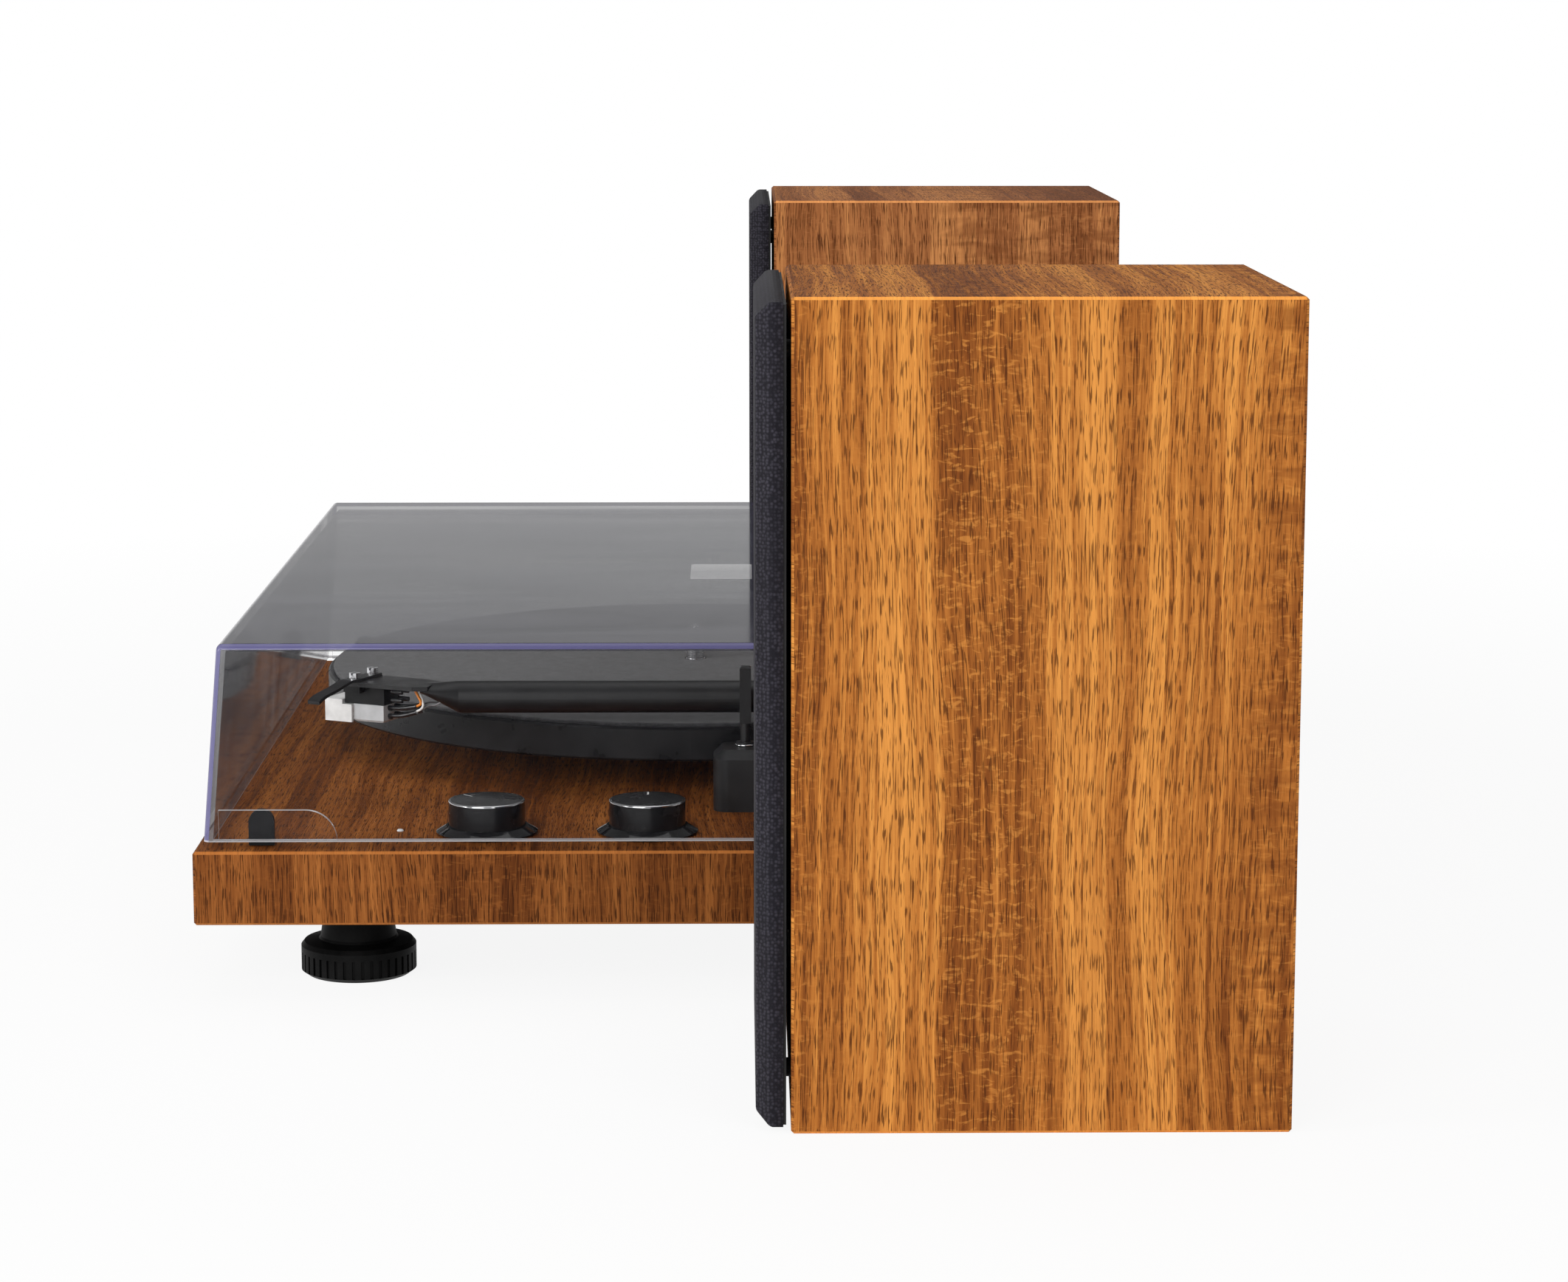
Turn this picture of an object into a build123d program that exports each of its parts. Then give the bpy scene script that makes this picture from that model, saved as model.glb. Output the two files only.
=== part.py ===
from build123d import *
from math import atan2, cos, degrees, radians, sin, sqrt
import os

# A belt-drive record player between two bookshelf speakers, in millimetres.
# z = 0 is the table, the front is -y and the tonearm is on the +x side.
# The origin is on the table, in the middle of the whole set.

# Plinth and feet
plinth_width = 406.0
plinth_depth = 350.0
plinth_height = 26.4
plinth_wall = 15.0
deck_thickness = 9.0
plinth_edge = 0.9
bottom_cover_thickness = 2.0
bottom_cover_lap = 5.0
foot_height = 27.1
foot_ring_radius = 20.8
foot_ring_height = 12.0
foot_stem_top_radius = 11.75
foot_stem_foot_radius = 13.75
foot_stud_radius = 4.0
foot_stud_length = 12.0
foot_boss_radius = 16.0
foot_from_side = 43.0
foot_from_end = 53.6
foot_rib_count = 40
foot_rib_depth = 0.7

# Gaps between pieces
slip = 0.3
running = 0.05
seat = 0.2

# Platter and drive
platter_radius = 150.0
platter_from_side = 241.0
platter_from_front = 174.0
platter_gap = 14.3
platter_rim = 12.7
platter_web = 5.0
platter_wall = 9.0
mat_thickness = 1.5
mat_inset = 2.0
hub_radius = 14.0
sub_platter_radius = 63.0
sub_platter_height = 9.0
sub_platter_web = 3.0
sub_platter_wall = 4.0
spindle_radius = 3.6
spindle_above_mat = 15.0
bearing_shaft_radius = 4.0
bearing_radius = 7.5
bearing_flange_radius = 14.0
bearing_flange_height = 3.0
bearing_depth = 22.0
pulley_radius = 7.0
pulley_height = 7.0
motor_offset_x = -60.0
motor_offset_y = 70.0
motor_radius = 19.0
motor_shaft_radius = 1.5
motor_plate = 2.0
motor_can_wall = 1.2
rotor_gap = 1.2
rotor_height = 5.5
belt_thickness = 0.8
belt_width = 4.0

# Controls
knob_from_side = 32.0
knob_from_front = 101.4
knob_spacing = 57.6
knob_radius = 13.7
knob_height = 12.2
knob_lift = 0.8
knob_line = 0.7
bezel_radius = 18.2
bezel_height = 3.0
pot_radius = 8.5
pot_height = 9.0
pot_bush_radius = 4.5
pot_shaft_radius = 3.0
lamp_from_side = 35.0
lamp_from_front = 70.0
lamp_radius = 1.2

# Dust cover
cover_wall = 3.0
cover_height = 73.0
cover_gap = 2.5
cover_side_inset = 5.0
cover_front_inset = 3.3
cover_front_slant = 6.0
cover_rear_inset = 1.0
cover_round = 2.5
tab_length = 46.7
tab_height = 10.7
tab_end = 11.0
tab_thickness = 2.0
bumper_from_front = 23.2
bumper_width = 9.0
bumper_height = 10.5
bumper_thickness = 3.0
hinge_spread = 260.0
hinge_width = 36.0
hinge_leaf = 2.5
hinge_reach = 5.0
hinge_barrel_radius = 4.0
hinge_pin_radius = 1.5
hinge_lower_length = 20.0
hinge_upper_length = 24.0

# Tonearm
arm_from_side = 88.3
arm_pivot_from_front = 228.0
arm_height = 39.5
arm_tube_radius = 6.0
arm_tube_wall = 1.0
arm_block_width = 14.0
arm_block_length = 18.0
arm_block_height = 16.0
arm_pin_radius = 1.5
yoke_wall = 3.0
yoke_length = 12.0
yoke_base_height = 5.7
pillar_radius = 5.0
head_from_pivot = 154.0
head_taper = 14.0
head_angle = 26.0
head_length = 31.0
head_width = 18.0
head_plate = 1.6
head_drop = 0.9
head_screws_along = 25.0
head_screw_spacing = 12.7
head_screw_radius = 1.2
head_screw_head_radius = 2.1
head_screw_head_height = 2.2
lift_width = 5.0
lift_thickness = 1.0
lift_reach = 26.0
lift_drop = 3.0
cartridge_rear = 13.0
cartridge_length = 17.0
cartridge_width = 15.0
cartridge_height = 7.0
holder_length = 13.0
holder_width = 12.0
holder_height = 6.6
guard_length = 11.5
guard_width = 14.0
guard_height = 8.4
guard_wall = 1.2
guard_lap = 1.4
weight_radius = 15.0
weight_length = 24.0
weight_from_pivot = 22.0
weight_stub_radius = 4.0
weight_stub_length = 46.0

# Arm base, rest and lift
base_from_side = 66.5
base_from_front = 182.4
base_width = 22.5
base_length = 70.0
base_height = 22.7
base_bevel = 3.2
base_corner = 5.5
turret_radius = 18.0
turret_height = 6.0
column_radius = 10.0
post_from_side = 79.7
post_from_front = 194.3
post_width = 4.2
post_height = 52.3
post_stem_radius = 1.9
rest_ledge = 2.0
lift_radius = 22.0
lift_bar_width = 4.0
lift_bar_thickness = 1.5
lift_piston_radius = 2.5
lift_piston_depth = 14.0
lift_piston_x = 5.3
lift_start_angle = -14.0
lift_sweep = 66.0
lever_from_front = 240.0
lever_height = 14.0
lever_hub_radius = 5.0
lever_length = 38.0
lever_thickness = 4.0
lever_shaft_radius = 2.0
lever_shaft_length = 8.0
dial_from_base_side = 8.0
dial_from_base_front = 31.6
dial_radius = 5.0
dial_height = 5.0
dial_stem_radius = 2.0
dial_stem_length = 8.0

# Rear panel
panel_width = 124.0
panel_height = 21.0
panel_thickness = 1.5
jack_radius = 4.15
jack_length = 8.5
binding_radius = 4.6
binding_length = 9.0
inlet_size = 11.0

# Speakers
speaker_width = 150.0
speaker_depth = 156.0
speaker_height = 260.0
speaker_gap = 17.0
speaker_setback = 208.0
speaker_wall = 12.0
speaker_edge = 0.9
grille_thickness = 9.5
grille_gap = 1.5
grille_inset = 1.6
grille_bevel = 4.0
grille_bar = 15.0
grille_rib = 7.0
window_columns = 2
window_rows = 4
window_corner = 5.0
grille_cloth = 0.8
peg_radius = 3.0
peg_length = 6.0
woofer_radius = 52.5
woofer_flange = 3.0
woofer_height = 92.0
woofer_cut_radius = 47.0
woofer_basket_depth = 30.0
basket_window_length = 14.0
basket_window_width = 20.0
magnet_radius = 38.0
magnet_height = 16.0
tweeter_radius = 26.0
tweeter_from_top = 64.0
tweeter_cut_radius = 21.0
dome_radius = 12.5
port_radius = 17.0
port_wall = 2.0
port_length = 60.0
port_flange_radius = 25.0
port_from_top = 64.0
cup_width = 62.0
cup_height = 48.0
cup_depth = 16.0
cup_centre_height = 74.0
cup_wall = 2.0
cup_flange = 5.0
cup_plate = 1.6
post_spacing = 19.0
post_cap_radius = 5.0
post_cap_length = 12.0

# Places worked out from the sizes
set_depth = speaker_setback + speaker_depth
front_y = -set_depth / 2
plinth_rear_y = front_y + plinth_depth
plinth_middle_y = (front_y + plinth_rear_y) / 2
side_x = plinth_width / 2
deck_z = foot_height + plinth_height
deck_under_z = deck_z - deck_thickness
cover_plate_z = foot_height + bottom_cover_thickness
platter_x = side_x - platter_from_side
platter_y = front_y + platter_from_front
platter_bottom_z = deck_z + platter_gap
platter_top_z = platter_bottom_z + platter_rim
mat_top_z = platter_top_z + mat_thickness
motor_x = platter_x + motor_offset_x
motor_y = platter_y + motor_offset_y
knob_x = side_x - knob_from_side
lamp_x = side_x - lamp_from_side
lamp_y = front_y + lamp_from_front
knob_ys = [front_y + knob_from_front + knob_spacing * n for n in range(2)]
arm_x = side_x - arm_from_side
arm_y = front_y + arm_pivot_from_front
arm_z = deck_z + arm_height
foot_places = [
    (sx * (side_x - foot_from_side), y)
    for y in (front_y + foot_from_end, plinth_rear_y - foot_from_end)
    for sx in (1, -1)
]

os.makedirs("parts", exist_ok=True)


def upright(x, y):
    """Vertical plane through (x, y), drawn as distance to the right and height."""
    return Plane(origin=(x, y, 0), x_dir=(1, 0, 0), z_dir=(0, -1, 0))


def save(piece, label):
    """Label a finished piece and write it to its own STEP file."""
    piece.part.label = label
    export_step(piece.part, "parts/" + label + ".step")


# Plinth: a veneered board, hollowed from below, with a boss over each foot
cavity_width = plinth_width - 2 * plinth_wall
cavity_depth = plinth_depth - 2 * plinth_wall
rebate_width = cavity_width + 2 * bottom_cover_lap
rebate_depth = cavity_depth + 2 * bottom_cover_lap
panel_z = foot_height + plinth_height / 2
panel_opening_width = panel_width - 12
panel_opening_height = panel_height - 7
plinth_middle = Plane.XY.offset(foot_height).move(Location((0, plinth_middle_y, 0)))

with BuildPart() as plinth:
    with BuildSketch(plinth_middle):
        Rectangle(plinth_width, plinth_depth)
    extrude(amount=plinth_height)
    chamfer(plinth.edges(), plinth_edge)
    with BuildSketch(plinth_middle):
        Rectangle(rebate_width, rebate_depth)
    extrude(amount=bottom_cover_thickness, mode=Mode.SUBTRACT)
    with BuildSketch(Plane.XY.offset(cover_plate_z)):
        with Locations((0, plinth_middle_y)):
            Rectangle(cavity_width, cavity_depth)
        with Locations(*foot_places):
            Circle(foot_boss_radius, mode=Mode.SUBTRACT)
    extrude(amount=deck_under_z - cover_plate_z, mode=Mode.SUBTRACT)
    with Locations(*[(x, y, cover_plate_z) for x, y in foot_places]):
        Cylinder(
            foot_stud_radius + running,
            foot_stud_length,
            align=(Align.CENTER, Align.CENTER, Align.MIN),
            mode=Mode.SUBTRACT,
        )
    with BuildSketch(Plane.XY.offset(deck_under_z)):
        with Locations((platter_x, platter_y)):
            Circle(bearing_radius)
        with Locations((motor_x, motor_y)):
            Circle(motor_shaft_radius + 4.5)
        with Locations(*[(knob_x, y) for y in knob_ys]):
            Circle(pot_bush_radius)
        with Locations((lamp_x, lamp_y)):
            Circle(lamp_radius)
    extrude(amount=deck_thickness, mode=Mode.SUBTRACT)
    with BuildSketch(Plane.XZ.offset(-plinth_rear_y)):
        with Locations((0, panel_z)):
            Rectangle(panel_opening_width, panel_opening_height)
    extrude(amount=plinth_wall, mode=Mode.SUBTRACT)
save(plinth, "plinth")

# Bottom cover: a steel sheet in the plinth's rebate, with the circuit board's standoffs
board_x = 70.0
board_y = plinth_rear_y - plinth_wall - 46
board_width = 110.0
board_depth = 62.0
board_thickness = 1.6
standoff_height = 4.0
standoff_radius = 3.0
standoff_places = [
    (board_x + sx * (board_width / 2 - 6), board_y + sy * (board_depth / 2 - 6))
    for sx in (1, -1)
    for sy in (1, -1)
]
screw_radius = 1.5
screw_head_radius = 3.0
screw_places = [
    (sx * (rebate_width / 2 - bottom_cover_lap / 2), plinth_middle_y + sy * cavity_depth / 4)
    for sx in (1, -1)
    for sy in (1, -1)
] + [
    (sx * cavity_width / 4, plinth_middle_y + sy * (rebate_depth / 2 - bottom_cover_lap / 2))
    for sx in (1, -1)
    for sy in (1, -1)
]
vent_length = 34.0
vent_width = 4.0

with BuildPart() as bottom_cover:
    with BuildSketch(Plane.XY.offset(foot_height)):
        with Locations((0, plinth_middle_y)):
            Rectangle(rebate_width - 2 * seat, rebate_depth - 2 * seat)
        with Locations(*foot_places):
            Circle(foot_stud_radius + 1, mode=Mode.SUBTRACT)
        with Locations(*screw_places):
            Circle(screw_radius, mode=Mode.SUBTRACT)
        with Locations((motor_x, motor_y)):
            with GridLocations(0, 2.5 * vent_width, 1, 5):
                Rectangle(vent_length, vent_width, mode=Mode.SUBTRACT)
    extrude(amount=bottom_cover_thickness - seat / 2)
    with Locations(*[(x, y, cover_plate_z - seat / 2) for x, y in standoff_places]):
        Cylinder(
            standoff_radius, standoff_height, align=(Align.CENTER, Align.CENTER, Align.MIN)
        )
save(bottom_cover, "bottom_cover")

# Pan-head screws that hold the bottom cover
screw_head_height = 1.4
screw_sides = 12
with BuildPart() as bottom_screws:
    with BuildSketch(Plane.XY.offset(foot_height - screw_head_height)):
        with Locations(*screw_places):
            RegularPolygon(screw_head_radius, screw_sides)
    extrude(amount=screw_head_height)
    with BuildSketch(Plane.XY.offset(foot_height)):
        with Locations(*screw_places):
            RegularPolygon(screw_radius, screw_sides)
    extrude(amount=bottom_cover_thickness - seat / 2)
save(bottom_screws, "bottom_screws")

# Feet: a ribbed ring under a tapered stem, with a threaded stud into the plinth's boss
foot_names = [
    "foot_front_right",
    "foot_front_left",
    "foot_rear_right",
    "foot_rear_left",
]
foot_top_z = foot_height - slip
for (foot_x, foot_y), foot_name in zip(foot_places, foot_names):
    with BuildPart() as foot:
        with BuildSketch(upright(foot_x, foot_y)):
            with BuildLine():
                Polyline(
                    (0, 0),
                    (foot_ring_radius - 2.2, 0),
                    (foot_ring_radius, 1.6),
                    (foot_ring_radius, foot_ring_height - 1.5),
                    (foot_ring_radius - 1.2, foot_ring_height),
                    (foot_stem_foot_radius + 0.6, foot_ring_height + 0.9),
                    (foot_stem_foot_radius, foot_ring_height + 1.8),
                    (foot_stem_top_radius, foot_top_z),
                    (foot_stud_radius, foot_top_z),
                    (foot_stud_radius, foot_height + foot_stud_length),
                    (0, foot_height + foot_stud_length),
                    close=True,
                )
            make_face()
        revolve(axis=Axis((foot_x, foot_y, 0), (0, 0, 1)))
        with BuildSketch(Plane.XY.offset(1.6)):
            with Locations((foot_x, foot_y)):
                with PolarLocations(foot_ring_radius, foot_rib_count):
                    Rectangle(2 * foot_rib_depth, foot_rib_depth * 1.6)
        extrude(amount=foot_ring_height - 5.4, mode=Mode.SUBTRACT)
    save(foot, foot_name)

# Platter: a thick rim round a thin web, dished below, turned about the spindle
platter_axis = Axis((platter_x, platter_y, 0), (0, 0, 1))
platter_plane = upright(platter_x, platter_y)
with BuildPart() as platter:
    with BuildSketch(platter_plane):
        with BuildLine():
            Polyline(
                (bearing_shaft_radius + running, platter_top_z),
                (platter_radius - 0.8, platter_top_z),
                (platter_radius, platter_top_z - 0.8),
                (platter_radius, platter_bottom_z + 0.8),
                (platter_radius - 0.8, platter_bottom_z),
                (platter_radius - platter_wall, platter_bottom_z),
                (platter_radius - platter_wall - 3, platter_top_z - platter_web),
                (sub_platter_radius + 6, platter_top_z - platter_web),
                (sub_platter_radius + 3, platter_bottom_z),
                (bearing_shaft_radius + running, platter_bottom_z),
                close=True,
            )
        make_face()
    revolve(axis=platter_axis)
save(platter, "platter")

with BuildPart() as platter_mat:
    with BuildSketch(Plane.XY.offset(platter_top_z)):
        with Locations((platter_x, platter_y)):
            Circle(platter_radius - mat_inset)
            Circle(bearing_shaft_radius + slip, mode=Mode.SUBTRACT)
    extrude(amount=mat_thickness)
save(platter_mat, "platter_mat")

# Sub-platter: the belt's drum, spoked, with a hub that is pressed on the spindle
sub_bottom_z = platter_bottom_z - sub_platter_height
with BuildPart() as sub_platter:
    with BuildSketch(Plane.XY.offset(sub_bottom_z)):
        with Locations((platter_x, platter_y)):
            Circle(sub_platter_radius)
            Circle(bearing_shaft_radius, mode=Mode.SUBTRACT)
    extrude(amount=sub_platter_height)
    with BuildSketch(Plane.XY.offset(sub_bottom_z)):
        with Locations((platter_x, platter_y)):
            Circle(sub_platter_radius - sub_platter_wall)
            Circle(hub_radius, mode=Mode.SUBTRACT)
    extrude(amount=sub_platter_height - sub_platter_web, mode=Mode.SUBTRACT)
    with BuildSketch(Plane.XY.offset(platter_bottom_z - sub_platter_web)):
        with Locations((platter_x, platter_y)):
            with PolarLocations((sub_platter_radius + hub_radius) / 2, 6):
                Circle(12)
    extrude(amount=sub_platter_web, mode=Mode.SUBTRACT)
save(sub_platter, "sub_platter")

# Spindle and its flanged bearing bush
bearing_bottom_z = deck_z - bearing_depth
spindle_top_z = mat_top_z + spindle_above_mat
with BuildPart() as spindle:
    with BuildSketch(platter_plane):
        with BuildLine():
            Polyline(
                (0, bearing_bottom_z + 2.5),
                (bearing_shaft_radius - 1, bearing_bottom_z + 2.5),
                (bearing_shaft_radius, bearing_bottom_z + 3.5),
                (bearing_shaft_radius, mat_top_z),
                (spindle_radius, mat_top_z),
                (spindle_radius, spindle_top_z - 2.5),
                (spindle_radius * 0.85, spindle_top_z - 1.2),
                (spindle_radius * 0.5, spindle_top_z - 0.3),
                (0, spindle_top_z),
                close=True,
            )
        make_face()
    revolve(axis=platter_axis)
save(spindle, "spindle")

with BuildPart() as spindle_bearing:
    with BuildSketch(platter_plane):
        with BuildLine():
            Polyline(
                (0, bearing_bottom_z),
                (bearing_radius, bearing_bottom_z),
                (bearing_radius, deck_z),
                (bearing_flange_radius, deck_z),
                (bearing_flange_radius - 1, deck_z + bearing_flange_height),
                (bearing_shaft_radius + running, deck_z + bearing_flange_height),
                (bearing_shaft_radius + running, bearing_bottom_z + 2.3),
                (0, bearing_bottom_z + 2.3),
                close=True,
            )
        make_face()
    revolve(axis=platter_axis)
save(spindle_bearing, "spindle_bearing")

# Motor under the deck, the crowned pulley and the rotor on its shaft, and the belt
motor_top_z = deck_under_z - motor_plate
motor_bottom_z = cover_plate_z + 1.4
pulley_bottom_z = platter_bottom_z - pulley_height - 1.6
pulley_axis = Axis((motor_x, motor_y, 0), (0, 0, 1))
pulley_plane = upright(motor_x, motor_y)
shaft_foot_z = motor_bottom_z + 0.8
rotor_radius = motor_radius - motor_can_wall - rotor_gap
rotor_bottom_z = motor_bottom_z + 1.5 + rotor_gap
rotor_top_z = rotor_bottom_z + rotor_height
with BuildPart() as motor:
    with BuildSketch(pulley_plane):
        with BuildLine():
            Polyline(
                (0, motor_bottom_z),
                (motor_radius - 1.5, motor_bottom_z),
                (motor_radius, motor_bottom_z + 1.5),
                (motor_radius, motor_top_z),
                (motor_shaft_radius + 3.5, motor_top_z),
                (motor_shaft_radius + 3.5, deck_under_z + 2),
                (motor_shaft_radius + running, deck_under_z + 2),
                (motor_shaft_radius + running, motor_top_z - motor_can_wall),
                (motor_radius - motor_can_wall, motor_top_z - motor_can_wall),
                (motor_radius - motor_can_wall, motor_bottom_z + 1.5),
                (motor_shaft_radius + running, motor_bottom_z + 1.5),
                (motor_shaft_radius + running, motor_bottom_z + 0.5),
                (0, motor_bottom_z + 0.5),
                close=True,
            )
        make_face()
    revolve(axis=pulley_axis)
    with BuildSketch(Plane.XY.offset(motor_top_z)):
        with Locations((motor_x, motor_y)):
            RectangleRounded(3 * motor_radius, 2 * motor_radius, 6)
            Circle(motor_shaft_radius + 3.5, mode=Mode.SUBTRACT)
    extrude(amount=motor_plate)
save(motor, "motor")

with BuildPart() as motor_pulley:
    with BuildSketch(pulley_plane):
        with BuildLine():
            Polyline(
                (0, shaft_foot_z),
                (motor_shaft_radius, shaft_foot_z),
                (motor_shaft_radius, rotor_bottom_z),
                (rotor_radius, rotor_bottom_z),
                (rotor_radius, rotor_top_z),
                (motor_shaft_radius, rotor_top_z),
                (motor_shaft_radius, pulley_bottom_z),
                (pulley_radius + 1, pulley_bottom_z),
                (pulley_radius + 1, pulley_bottom_z + 0.8),
                (pulley_radius - 0.4, pulley_bottom_z + 1.2),
            )
            ThreePointArc(
                (pulley_radius - 0.4, pulley_bottom_z + 1.2),
                (pulley_radius, pulley_bottom_z + pulley_height / 2),
                (pulley_radius - 0.4, pulley_bottom_z + pulley_height - 1.2),
            )
            Polyline(
                (pulley_radius - 0.4, pulley_bottom_z + pulley_height - 1.2),
                (pulley_radius + 1, pulley_bottom_z + pulley_height - 0.8),
                (pulley_radius + 1, pulley_bottom_z + pulley_height),
                (0, pulley_bottom_z + pulley_height),
                (0, shaft_foot_z),
            )
        make_face()
    revolve(axis=pulley_axis)
save(motor_pulley, "motor_pulley")

belt_z = pulley_bottom_z + (pulley_height - belt_width) / 2
with BuildPart() as drive_belt:
    with BuildSketch(Plane.XY.offset(belt_z)):
        with BuildSketch(Plane.XY, mode=Mode.PRIVATE) as belt_circles:
            with Locations((platter_x, platter_y)):
                Circle(sub_platter_radius + slip + belt_thickness)
            with Locations((motor_x, motor_y)):
                Circle(pulley_radius + slip + belt_thickness)
        make_hull(belt_circles.edges())
        offset(amount=-belt_thickness, mode=Mode.SUBTRACT)
    extrude(amount=belt_width)
save(drive_belt, "drive_belt")

# Circuit board on its standoffs, with its taller components
board_bottom_z = cover_plate_z - seat / 2 + standoff_height
board_top_z = board_bottom_z + board_thickness
capacitor_radius = 5.0
capacitor_height = 9.0
transformer_length = 26.0
transformer_width = 16.0
transformer_height = 6.0
with BuildPart() as control_board:
    with BuildSketch(Plane.XY.offset(board_bottom_z)):
        with Locations((board_x, board_y)):
            Rectangle(board_width, board_depth)
    extrude(amount=board_thickness)
    with Locations((board_x - board_width / 4, board_y - board_depth / 8, board_top_z)):
        with GridLocations(board_width / 8, 0, 3, 1):
            Cylinder(
                capacitor_radius,
                capacitor_height,
                align=(Align.CENTER, Align.CENTER, Align.MIN),
            )
    with Locations((board_x + board_width / 4, board_y - board_depth / 8, board_top_z)):
        Box(
            transformer_length,
            transformer_width,
            transformer_height,
            align=(Align.CENTER, Align.CENTER, Align.MIN),
        )
save(control_board, "control_board")

# Potentiometers under the deck, each with its bush through the deck
pot_bottom_z = deck_under_z - pot_height
with BuildPart() as potentiometers:
    for knob_y in knob_ys:
        with BuildSketch(Plane.XY.offset(pot_bottom_z)):
            with Locations((knob_x, knob_y)):
                Circle(pot_radius)
        extrude(amount=pot_height)
        with BuildSketch(Plane.XY.offset(deck_under_z)):
            with Locations((knob_x, knob_y)):
                Circle(pot_bush_radius)
        extrude(amount=deck_thickness)
        with BuildSketch(Plane.XY.offset(pot_bottom_z + 2)):
            with Locations((knob_x, knob_y)):
                Circle(pot_shaft_radius + running)
        extrude(amount=pot_height + deck_thickness, mode=Mode.SUBTRACT)
save(potentiometers, "potentiometers")

# Gloss bezels that stand round the knobs like wide brims
with BuildPart() as knob_bezels:
    for knob_y in knob_ys:
        with BuildSketch(upright(knob_x, knob_y)):
            with BuildLine():
                Polyline(
                    (knob_radius + slip, deck_z),
                    (bezel_radius - 1.8, deck_z),
                    (bezel_radius, deck_z + 0.9),
                    (bezel_radius - 0.6, deck_z + 1.3),
                    (knob_radius + slip + 0.7, deck_z + bezel_height),
                    (knob_radius + slip, deck_z + bezel_height),
                    close=True,
                )
            make_face()
        revolve(axis=Axis((knob_x, knob_y, 0), (0, 0, 1)))
save(knob_bezels, "knob_bezels")

# Knobs: a hollow drum on its shaft, with a groove in the top for the pointer line
knob_names = ["volume", "tone"]
pointer_angles = [-135.0, 180.0]
knob_top_z = deck_z + knob_height
for knob_y, knob_name, pointer_angle in zip(knob_ys, knob_names, pointer_angles):
    knob_place = Plane.XY.move(Location((knob_x, knob_y, 0)))
    with BuildPart() as knob:
        with BuildSketch(knob_place.offset(deck_z + knob_lift)):
            Circle(knob_radius)
        extrude(amount=knob_height - knob_lift)
        chamfer(knob.edges().filter_by(GeomType.CIRCLE).group_by(Axis.Z)[-1], 0.5)
        with BuildSketch(knob_place.offset(knob_top_z - 0.4)):
            with PolarLocations(knob_radius - 3.4, 1, start_angle=pointer_angle):
                Rectangle(5.2, knob_line)
        extrude(amount=1, mode=Mode.SUBTRACT)
        with BuildSketch(knob_place.offset(deck_z + knob_lift)):
            Circle(knob_radius - 1.6)
            Circle(pot_shaft_radius + 2.5, mode=Mode.SUBTRACT)
        extrude(amount=knob_height - knob_lift - 3, mode=Mode.SUBTRACT)
        with BuildSketch(knob_place.offset(pot_bottom_z + 2 + slip)):
            Circle(pot_shaft_radius)
        extrude(amount=knob_top_z - 3 - pot_bottom_z - 2 - slip)
    save(knob, knob_name + "_knob")

# Power lamp: a small clear lens through the deck
with BuildPart() as power_lamp:
    with BuildSketch(Plane.XY.offset(deck_under_z)):
        with Locations((lamp_x, lamp_y)):
            Circle(lamp_radius)
    extrude(amount=deck_thickness + 0.7)
    chamfer(power_lamp.edges().group_by(Axis.Z)[-1], 0.4)
save(power_lamp, "power_lamp")

# Dust cover: a moulded clear box with a slanted front, open below
cover_bottom_z = deck_z + cover_gap
cover_top_z = deck_z + cover_height
cover_half_width = side_x - cover_side_inset
cover_rear_y = plinth_rear_y - cover_rear_inset
cover_front_y = front_y + cover_front_inset
cover_inner_x = cover_half_width - cover_wall
with BuildPart() as dust_cover:
    with BuildSketch(Plane.YZ.offset(-cover_half_width)):
        with BuildLine():
            Polyline(
                (cover_front_y, cover_bottom_z),
                (cover_rear_y, cover_bottom_z),
                (cover_rear_y, cover_top_z),
                (cover_front_y + cover_front_slant, cover_top_z),
                close=True,
            )
        make_face()
    extrude(amount=2 * cover_half_width)
    cover_low_edges = dust_cover.edges().group_by(Axis.Z)[0]
    fillet(dust_cover.edges() - cover_low_edges, cover_round)
    with BuildSketch(Plane.YZ.offset(-cover_inner_x)):
        with BuildLine():
            Polyline(
                (cover_front_y + cover_wall, cover_bottom_z - 1),
                (cover_rear_y - cover_wall, cover_bottom_z - 1),
                (cover_rear_y - cover_wall, cover_top_z - cover_wall),
                (cover_front_y + cover_front_slant + cover_wall, cover_top_z - cover_wall),
                close=True,
            )
        make_face()
    extrude(amount=2 * cover_inner_x, mode=Mode.SUBTRACT)
save(dust_cover, "dust_cover")

# Clear strips bonded inside the side walls, with a rounded rear end, for the bumpers
tab_front_y = cover_front_y + cover_wall + 2
with BuildPart() as cover_tabs:
    for side in (1, -1):
        tab_x = cover_inner_x if side > 0 else -cover_inner_x + tab_thickness
        with BuildSketch(Plane.YZ.offset(tab_x)):
            with BuildLine():
                Polyline(
                    (cover_front_y + tab_length - tab_end, cover_bottom_z + tab_height),
                    (tab_front_y, cover_bottom_z + tab_height),
                    (tab_front_y, cover_bottom_z),
                    (cover_front_y + tab_length, cover_bottom_z),
                )
                EllipticalCenterArc(
                    (cover_front_y + tab_length - tab_end, cover_bottom_z),
                    tab_end,
                    tab_height,
                    start_angle=0,
                    arc_size=90,
                )
            make_face()
        extrude(amount=-tab_thickness)
save(cover_tabs, "cover_tabs")

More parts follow.
